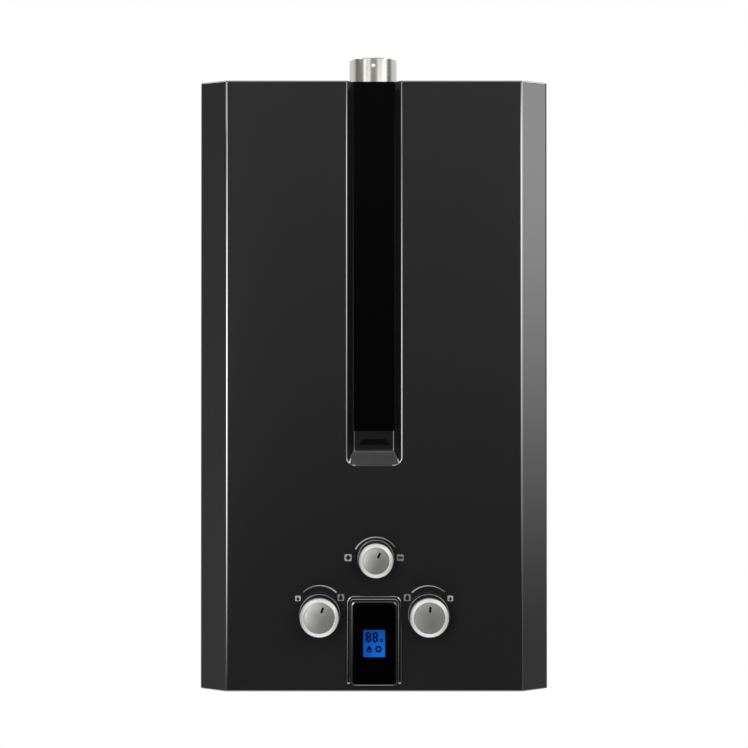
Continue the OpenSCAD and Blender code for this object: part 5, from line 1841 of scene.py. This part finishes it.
@dataclass
class UndersideFittings:
    """The cord gland with its rubber seal, and the knurled drain plug."""

    gland_bore_r: float = 4.2
    gland_wall: float = 2.0
    gland_base_t: float = 4.0
    gland_head_h: float = 9.0
    gland_barrel_r: float = 7.7
    gland_chamfer_h: float = 0.7
    gland_sides: int = 144
    dome_h: float = 2.8
    dome_mouth_r: float = 6.6
    dome_grips: int = 16
    dome_grip_d: float = 0.45
    seal_w: float = 2.4
    lock_t: float = 4.0
    plate_t: float = 1.0
    plug_head_h: float = 8.0
    plug_barrel_r: float = 5.0
    plug_grips: int = 28
    plug_slot_w: float = 2.0
    plug_slot_d: float = 2.2
    cutter_reach: float = 1.0

    def gland(self) -> None:
        """Makes the gland's hexagons, its dome nut and the seal in its mouth."""
        low, high = box_mm("cord_gland")
        at, corner = (low + high) / 2, (high.x - low.x) / 2
        across, grip = 2 * corner * math.cos(math.pi / 6), 0.9 * corner
        base = low.z + self.gland_head_h
        nut, plate = base - self.gland_base_t, base + self.plate_t
        lock, bevel, sides = plate + self.lock_t, self.gland_chamfer_h, self.gland_sides
        inside = circle((0.0, 0.0), self.gland_bore_r + self.gland_wall, sides)
        barrel = circle((0.0, 0.0), self.gland_barrel_r, sides)
        full, cut_in = hexagon(across, corner, sides), hexagon(across, grip, sides)
        draft = MeshDraft("cord_gland_nuts")
        draft.ring(at, [
            (inside, nut), (cut_in, nut), (full, nut + bevel), (full, base), (inside, base),
        ])
        draft.ring(at, [
            (inside, plate), (full, plate), (full, lock - bevel), (cut_in, lock), (inside, lock),
        ])
        draft.ring(at, [
            (inside, nut + 0.3), (barrel, nut + 0.3), (barrel, high.z), (inside, high.z),
        ])
        depth, shoulder, top = self.dome_grip_d, low.z + self.dome_h, nut + 0.2
        dome = [(lobed(grip, depth, self.dome_grips, sides), z) for z in (top, shoulder)]
        for a in span(0.0, math.pi / 2, math.pi / 10)[1:]:
            r = grip - (grip - self.dome_mouth_r) * (1 - math.cos(a))
            row = lobed(r, depth * math.cos(a), self.dome_grips, sides)
            dome.append((row, shoulder - self.dome_h * math.sin(a)))
        draft.ring(at, [(inside, top), *dome, (inside, low.z + 0.2)])
        place(draft.done(MOULDED_BLACK), CASE_BODY, "black_plastic", "cord_gland")

        seal = MeshDraft("gland_seal")
        bore, outer = self.gland_bore_r, self.gland_bore_r + self.seal_w
        profile = [
            (outer, low.z + 0.5), (bore + 0.5, low.z + 0.7), (bore, low.z + 1.4), (bore, high.z),
            (outer, high.z), (outer, low.z + 0.5),
        ]
        seal.lathe(profile, (at.x, at.y, 0.0), Axis.UP, 64)
        place(seal.done(RUBBER), CASE_BODY, "rubber")

    def plug(self) -> None:
        """Makes the drain plug with its knurled head and its coin slot."""
        low, high = box_mm("drain_plug")
        at, r = (low + high) / 2, (high.x - low.x) / 2
        seat = low.z + self.plug_head_h
        stem = self.plug_barrel_r
        profile = [
            (r - 1.3, 0.0, low.z), (r - 0.5, 0.15, low.z + 0.3), (r, 0.5, low.z + 1.0),
            (r, 0.5, seat - 0.9), (r - 0.6, 0.1, seat - 0.2), (r - 1.0, 0.0, seat),
            (stem, 0.0, seat), (stem, 0.0, high.z),
        ]
        draft = MeshDraft("drain_screw")
        draft.loft(
            [at_height(lobed(out, knurl, self.plug_grips), at, z) for out, knurl, z in profile],
            capped=True,
        )
        plug = draft.done(BRASS)
        cutter = MeshDraft("slot_cutter")
        reach, half = r + self.cutter_reach, self.plug_slot_w / 2
        slot = [(-reach, -half), (reach, -half), (reach, half), (-reach, half)]
        levels = (low.z - self.cutter_reach, low.z + self.plug_slot_d)
        cutter.loft([at_height(slot, at, z) for z in levels], capped=True)
        cut(plug, cutter.done(BRASS))
        soften(plug)
        place(plug, CASE_BODY, "brass", "drain_plug")

    def build(self) -> None:
        """Makes the gland and the plug."""
        self.gland()
        self.plug()


@dataclass
class ValveTrain:
    """The valve rod's wound spring and rubber diaphragm, and the fan's hose."""

    wire_d: float = 1.6
    turns: int = 7
    end_pitch: float = 1.75
    rod_travel: float = 4.0
    grip: float = 8.0
    web_t: float = 1.0
    sectors: int = 12
    hose_d: float = 7.0
    hose_bend: float = 12.0

    def run(
        self, name: str, points: Sequence[Point3], d: float, bend: float, finish: Finish
    ) -> Piece:
        """Sweeps a round section along a path.

        Args:
            name: the piece's name.
            points: the path's corners.
            d: the section's diameter.
            bend: the radius of the path's bends.
            finish: what the piece is made of.

        Returns:
            The piece.
        """
        tree, start = new_tree(
            f"{name}_run",
            {"Radius": "NodeSocketFloat", "Bend": "NodeSocketFloat",
             "Finish": "NodeSocketMaterial"},
        )
        given = start.outputs
        line = add_node(tree, "GeometryNodeMeshToCurve", {"Mesh": given["Geometry"]})
        curve = line.outputs["Curve"]
        if bend:
            inputs = {"Curve": curve, "Count": 10, "Radius": given["Bend"]}
            curve = add_node(tree, "GeometryNodeFilletCurve", inputs, mode="POLY").outputs["Curve"]
        end_tree(tree, sweep(tree, curve, given["Radius"], 14), given["Finish"])
        draft = MeshDraft(name)
        corners = [draft.bm.verts.new(p) for p in points]
        for a, b in zip(corners, corners[1:]):
            draft.bm.edges.new((a, b))
        piece = draft.done(finish)
        grow(piece, tree, {"Radius": d / 2 * MM, "Bend": bend * MM, "Finish": finish.material()})
        soften(piece, sharp=60.0)
        return piece

    def spring(self) -> None:
        """Winds the return spring, with a close turn at each end."""
        low, high = box_mm("valve_spring")
        at, r = (low + high) / 2, (high.y - low.y - self.wire_d) / 2
        first, last = low.x + self.wire_d / 2, high.x - self.wire_d / 2
        pitch = (last - first - 2 * self.end_pitch) / (self.turns - 2)
        points = []
        for t in span(0.0, self.turns, 1 / 36):
            rise = self.end_pitch * (min(t, 1.0) + max(t - self.turns + 1, 0.0))
            x = first + rise + pitch * min(max(t - 1, 0.0), self.turns - 2)
            a = 2 * math.pi * t
            points.append((x, at.y + r * math.cos(a), at.z + r * math.sin(a)))
        spring = self.run("return_spring", points, self.wire_d, 0.0, PLATED_STEEL)
        place(spring, CASE_BODY, "steel", "valve_spring")
        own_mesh(spring)

    def diaphragm(self) -> None:
        """Makes the diaphragm in sectors that stretch from its clamped rim to the rod's plate."""
        low, high = box_mm("diaphragm")
        rod_low, rod_high = box_mm("push_rod")
        at, rim = (low + high) / 2, (high.y - low.y) / 2
        pad, free = (rod_high.y - rod_low.y) / 2, rim - self.grip
        dent = (high.x - low.x - self.web_t) / 2
        web = [(r, dent) for r in span(pad + 0.5, free - 0.5, 0.5)]
        section = [(0.0, 0.0), (pad / 2, 0.0), (pad, 0.0), *web, (free, 0.0), (rim, 0.0)]
        outline = [*((r, low.x + d) for r, d in section),
                   *((r, high.x - d) for r, d in reversed(section))]
        half = math.pi / self.sectors
        for k in range(self.sectors):
            middle = 2 * half * k
            draft = MeshDraft(f"diaphragm_sector_{k + 1}")
            draft.loft(
                [[(x, at.y + r * math.cos(a), at.z + r * math.sin(a)) for r, x in outline]
                 for a in span(middle - half, middle + half, half / 2)],
                closed=False, capped=True,
            )
            piece = draft.done(RUBBER)
            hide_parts("diaphragm")
            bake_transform(piece)
            LOG.info("%s: %d faces", piece.name, len(piece.data.polygons))

    def hose(self) -> None:
        """Makes the moulded hose from the pressure switch to the fan."""
        low, high = box_mm("pressure_hose")
        r = self.hose_d / 2
        x, y, z = high.x - r, low.y + r, high.z - r
        corners = [(x, high.y, low.z + r), (x, y, low.z + r), (x, y, z), (low.x, y, z)]
        hose = self.run("fan_hose", corners, self.hose_d, self.hose_bend, SILICONE)
        place(hose, CASE_BODY, "hose", "pressure_hose")

    def build(self) -> None:
        """Makes the spring, the diaphragm and the hose."""
        self.spring()
        self.diaphragm()
        self.hose()


@dataclass(frozen=True)
class Lamp:
    """A soft box.

    Attributes:
        name: the lamp's name.
        at: its middle, in metres.
        aim: the point it faces, in metres.
        size: its width and height, in metres.
        power: its power in watts, before its edges are softened.
        soft: shares of the width and height over which its left, right, lower and upper
            edges fade.
    """

    name: str
    at: Point3
    aim: Point3
    size: Point2
    power: float
    soft: tuple[float, float, float, float] = (0.1, 0.1, 0.1, 0.1)

    def build(self) -> None:
        """Hangs the lamp in the scene."""
        light = bpy.data.lights.new(self.name, "AREA")
        light.shape = "RECTANGLE"
        light.size, light.size_y = self.size
        light.energy = self.power
        light.use_nodes = True
        tree = light.node_tree
        tree.nodes.clear()
        where = add_node(tree, "ShaderNodeNewGeometry")
        parts = add_node(tree, "ShaderNodeSeparateXYZ", {"Vector": where.outputs["Parametric"]})
        strength = 1.0
        for edge, (label, share) in enumerate(zip("XXYY", self.soft)):
            start, end = ((0.0, share), (1.0, 1.0 - share))[edge % 2]
            fade = ramp(tree, parts.outputs[label], (start, 0.0), (end, 1.0), "SMOOTHSTEP")
            strength = combine(tree, "MULTIPLY", strength, fade)
        glow = add_node(tree, "ShaderNodeEmission", {"Strength": strength})
        add_node(tree, "ShaderNodeOutputLight", {"Surface": glow.outputs["Emission"]})
        made = bpy.data.objects.new(self.name, light)
        made.location = self.at
        way = Vector(self.aim) - Vector(self.at)
        made.rotation_euler = way.to_track_quat("-Z", "Y").to_euler()
        bpy.context.scene.collection.objects.link(made)


FRONT = (0.0, -0.16, 0.0)
WINDOW = (0.0, -0.16, -0.075)
LAMPS = (
    Lamp("key", (-0.2, -1.85, 1.4), FRONT, (2.0, 1.0), 7.0),
    Lamp("overhead", (0.0, -0.9, 2.1), FRONT, (2.2, 1.6), 8.0),
    Lamp(
        "left_strip", (-0.69, -1.54, 0.0), (-0.15, -0.17, 0.0), (0.6, 1.4), 28.5,
        (0.6, 0.1, 0.5, 0.5),
    ),
    Lamp(
        "right_strip", (0.86, -1.4, 0.04), (0.15, -0.17, 0.06), (0.93, 1.09), 14.1,
        (0.08, 0.8, 0.83, 0.13),
    ),
    Lamp(
        "right_box", (1.36, -1.06, 0.1), (0.16, -0.16, 0.1), (0.95, 1.4), 8.7,
        (0.1, 0.1, 0.78, 0.15),
    ),
    Lamp("left_box", (-1.0, -1.23, 0.62), (0.0, -0.1, 0.3), (0.45, 0.35), 0.9),
    Lamp("left_scrim", (-0.75, -2.15, 0.75), (-0.05, -0.1, 0.3), (0.75, 0.5), 0.35),
    Lamp("right_scrim", (1.1, -1.87, 0.74), (0.05, -0.1, 0.3), (0.6, 0.4), 0.45),
    Lamp("right_glint", (1.14, -0.566, 0.955), WINDOW, (0.4, 0.4), 6.0),
    Lamp("left_glint", (-1.14, -0.566, 0.955), WINDOW, (0.4, 0.4), 4.0),
    Lamp("low_box", (0.0, -0.35, -0.74), (0.0, -0.2, 0.0), (0.7, 0.4), 0.9),
)


@dataclass
class Studio:
    """The camera, the lamps, the white surroundings and the floor.

    Attributes:
        focal: lens length for a 36 mm sensor.
        eye: the camera's place, in metres.
        pitch: how far the camera looks up, in degrees.
        shift: the lens shift of the photograph's framing.
        floor_z: height of the floor, in metres.
        floor_r: radius of the floor, in millimetres.
        ahead: brightness mirrored from straight ahead, low down and high up.
        aside: brightness mirrored from the sides, low down and high up.
        behind: brightness mirrored from behind the heater.
        ambient: brightness that lights matt surfaces.
    """

    focal: float = 69.923
    eye: Point3 = (-0.018, -1.623, 0.041)
    pitch: float = 0.4
    shift: Point2 = (0.0239, -0.0528)
    floor_z: float = -0.75
    floor_r: float = 1150.0
    ahead: Point2 = (0.004, 0.31)
    aside: Point2 = (0.23, 0.165)
    behind: float = 0.9
    ambient: float = 0.14

    def camera(self) -> None:
        """Sets an almost level camera that looks at the wall."""
        lens = bpy.data.cameras.new("camera")
        lens.sensor_width = 36.0
        lens.lens = self.focal
        lens.shift_x, lens.shift_y = self.shift
        lens.clip_end = 60.0
        eye = bpy.data.objects.new("camera", lens)
        eye.location = self.eye
        eye.rotation_euler = (math.radians(90.0 + self.pitch), 0.0, 0.0)
        bpy.context.scene.collection.objects.link(eye)
        bpy.context.scene.camera = eye

    def surroundings(self) -> None:
        """Makes the world: white to the camera, dim in front of the heater."""
        world = bpy.data.worlds.new("studio")
        world.use_nodes = True
        tree = world.node_tree
        tree.nodes.clear()
        path = add_node(tree, "ShaderNodeLightPath")
        ray = add_node(tree, "ShaderNodeTexCoord")
        parts = add_node(tree, "ShaderNodeSeparateXYZ", {"Vector": ray.outputs["Generated"]})
        y, z = parts.outputs["Y"], parts.outputs["Z"]
        ahead = ramp(tree, z, (-0.15, self.ahead[0]), (0.2, self.ahead[1]))
        aside = ramp(tree, z, (-0.15, self.aside[0]), (0.15, self.aside[1]))
        before = mix_values(tree, ramp(tree, y, (-0.7, 0.0), (-0.95, 1.0)), aside, ahead)
        mirrored = mix_values(tree, ramp(tree, y, (0.05, 0.0), (0.2, 1.0)), before, self.behind)
        clear = combine(
            tree, "MAXIMUM", path.outputs["Is Glossy Ray"], path.outputs["Is Transmission Ray"]
        )
        unseen = mix_values(tree, clear, self.ambient, mirrored)
        strength = mix_values(tree, path.outputs["Is Camera Ray"], unseen, 1.0)
        sky = add_node(
            tree, "ShaderNodeBackground", {"Color": linear("#ffffff"), "Strength": strength}
        )
        add_node(tree, "ShaderNodeOutputWorld", {"Surface": sky.outputs["Background"]})
        bpy.context.scene.world = world

    def floor(self) -> None:
        """Makes a pale floor that shows white to the camera and keeps a faint shadow."""
        draft = MeshDraft("floor")
        ring = [(x, y, self.floor_z / MM) for x, y in circle((0.0, 0.0), self.floor_r, 64)]
        draft.bm.faces.new([draft.bm.verts.new(p) for p in ring])
        draft.done(FLOOR_PAINT, sheet=True)

    def build(self) -> None:
        """Sets up the whole studio."""
        bpy.context.scene.view_settings.view_transform = "Standard"
        self.camera()
        self.surroundings()
        self.floor()
        for lamp in LAMPS:
            lamp.build()


def dress_nodes(frame: dict) -> None:
    """Gives every CAD node its finish.
    """
    slots = {part["node"]: part["material_slot"] for part in frame["record"]["subparts"]}
    for name, node in frame["nodes"].items():
        node.data.materials.clear()
        node.data.materials.append(SLOT_FINISH[slots[name]].material())
    LOG.info("finished %d CAD nodes", len(slots))


def main() -> None:
    """Builds the heater's looks piece by piece."""
    logging.basicConfig(level=logging.INFO, format="%(name)s: %(message)s")
    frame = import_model()
    Studio().build()
    dress_nodes(frame)
    for part in (
        FrontCover, RecessStrip, DisplayUnit, KnobPanel, FlueCollar, Connections, Fasteners,
        UndersideFittings, ValveTrain,
    ):
        part().build()


if __name__ == "__main__":
    main()
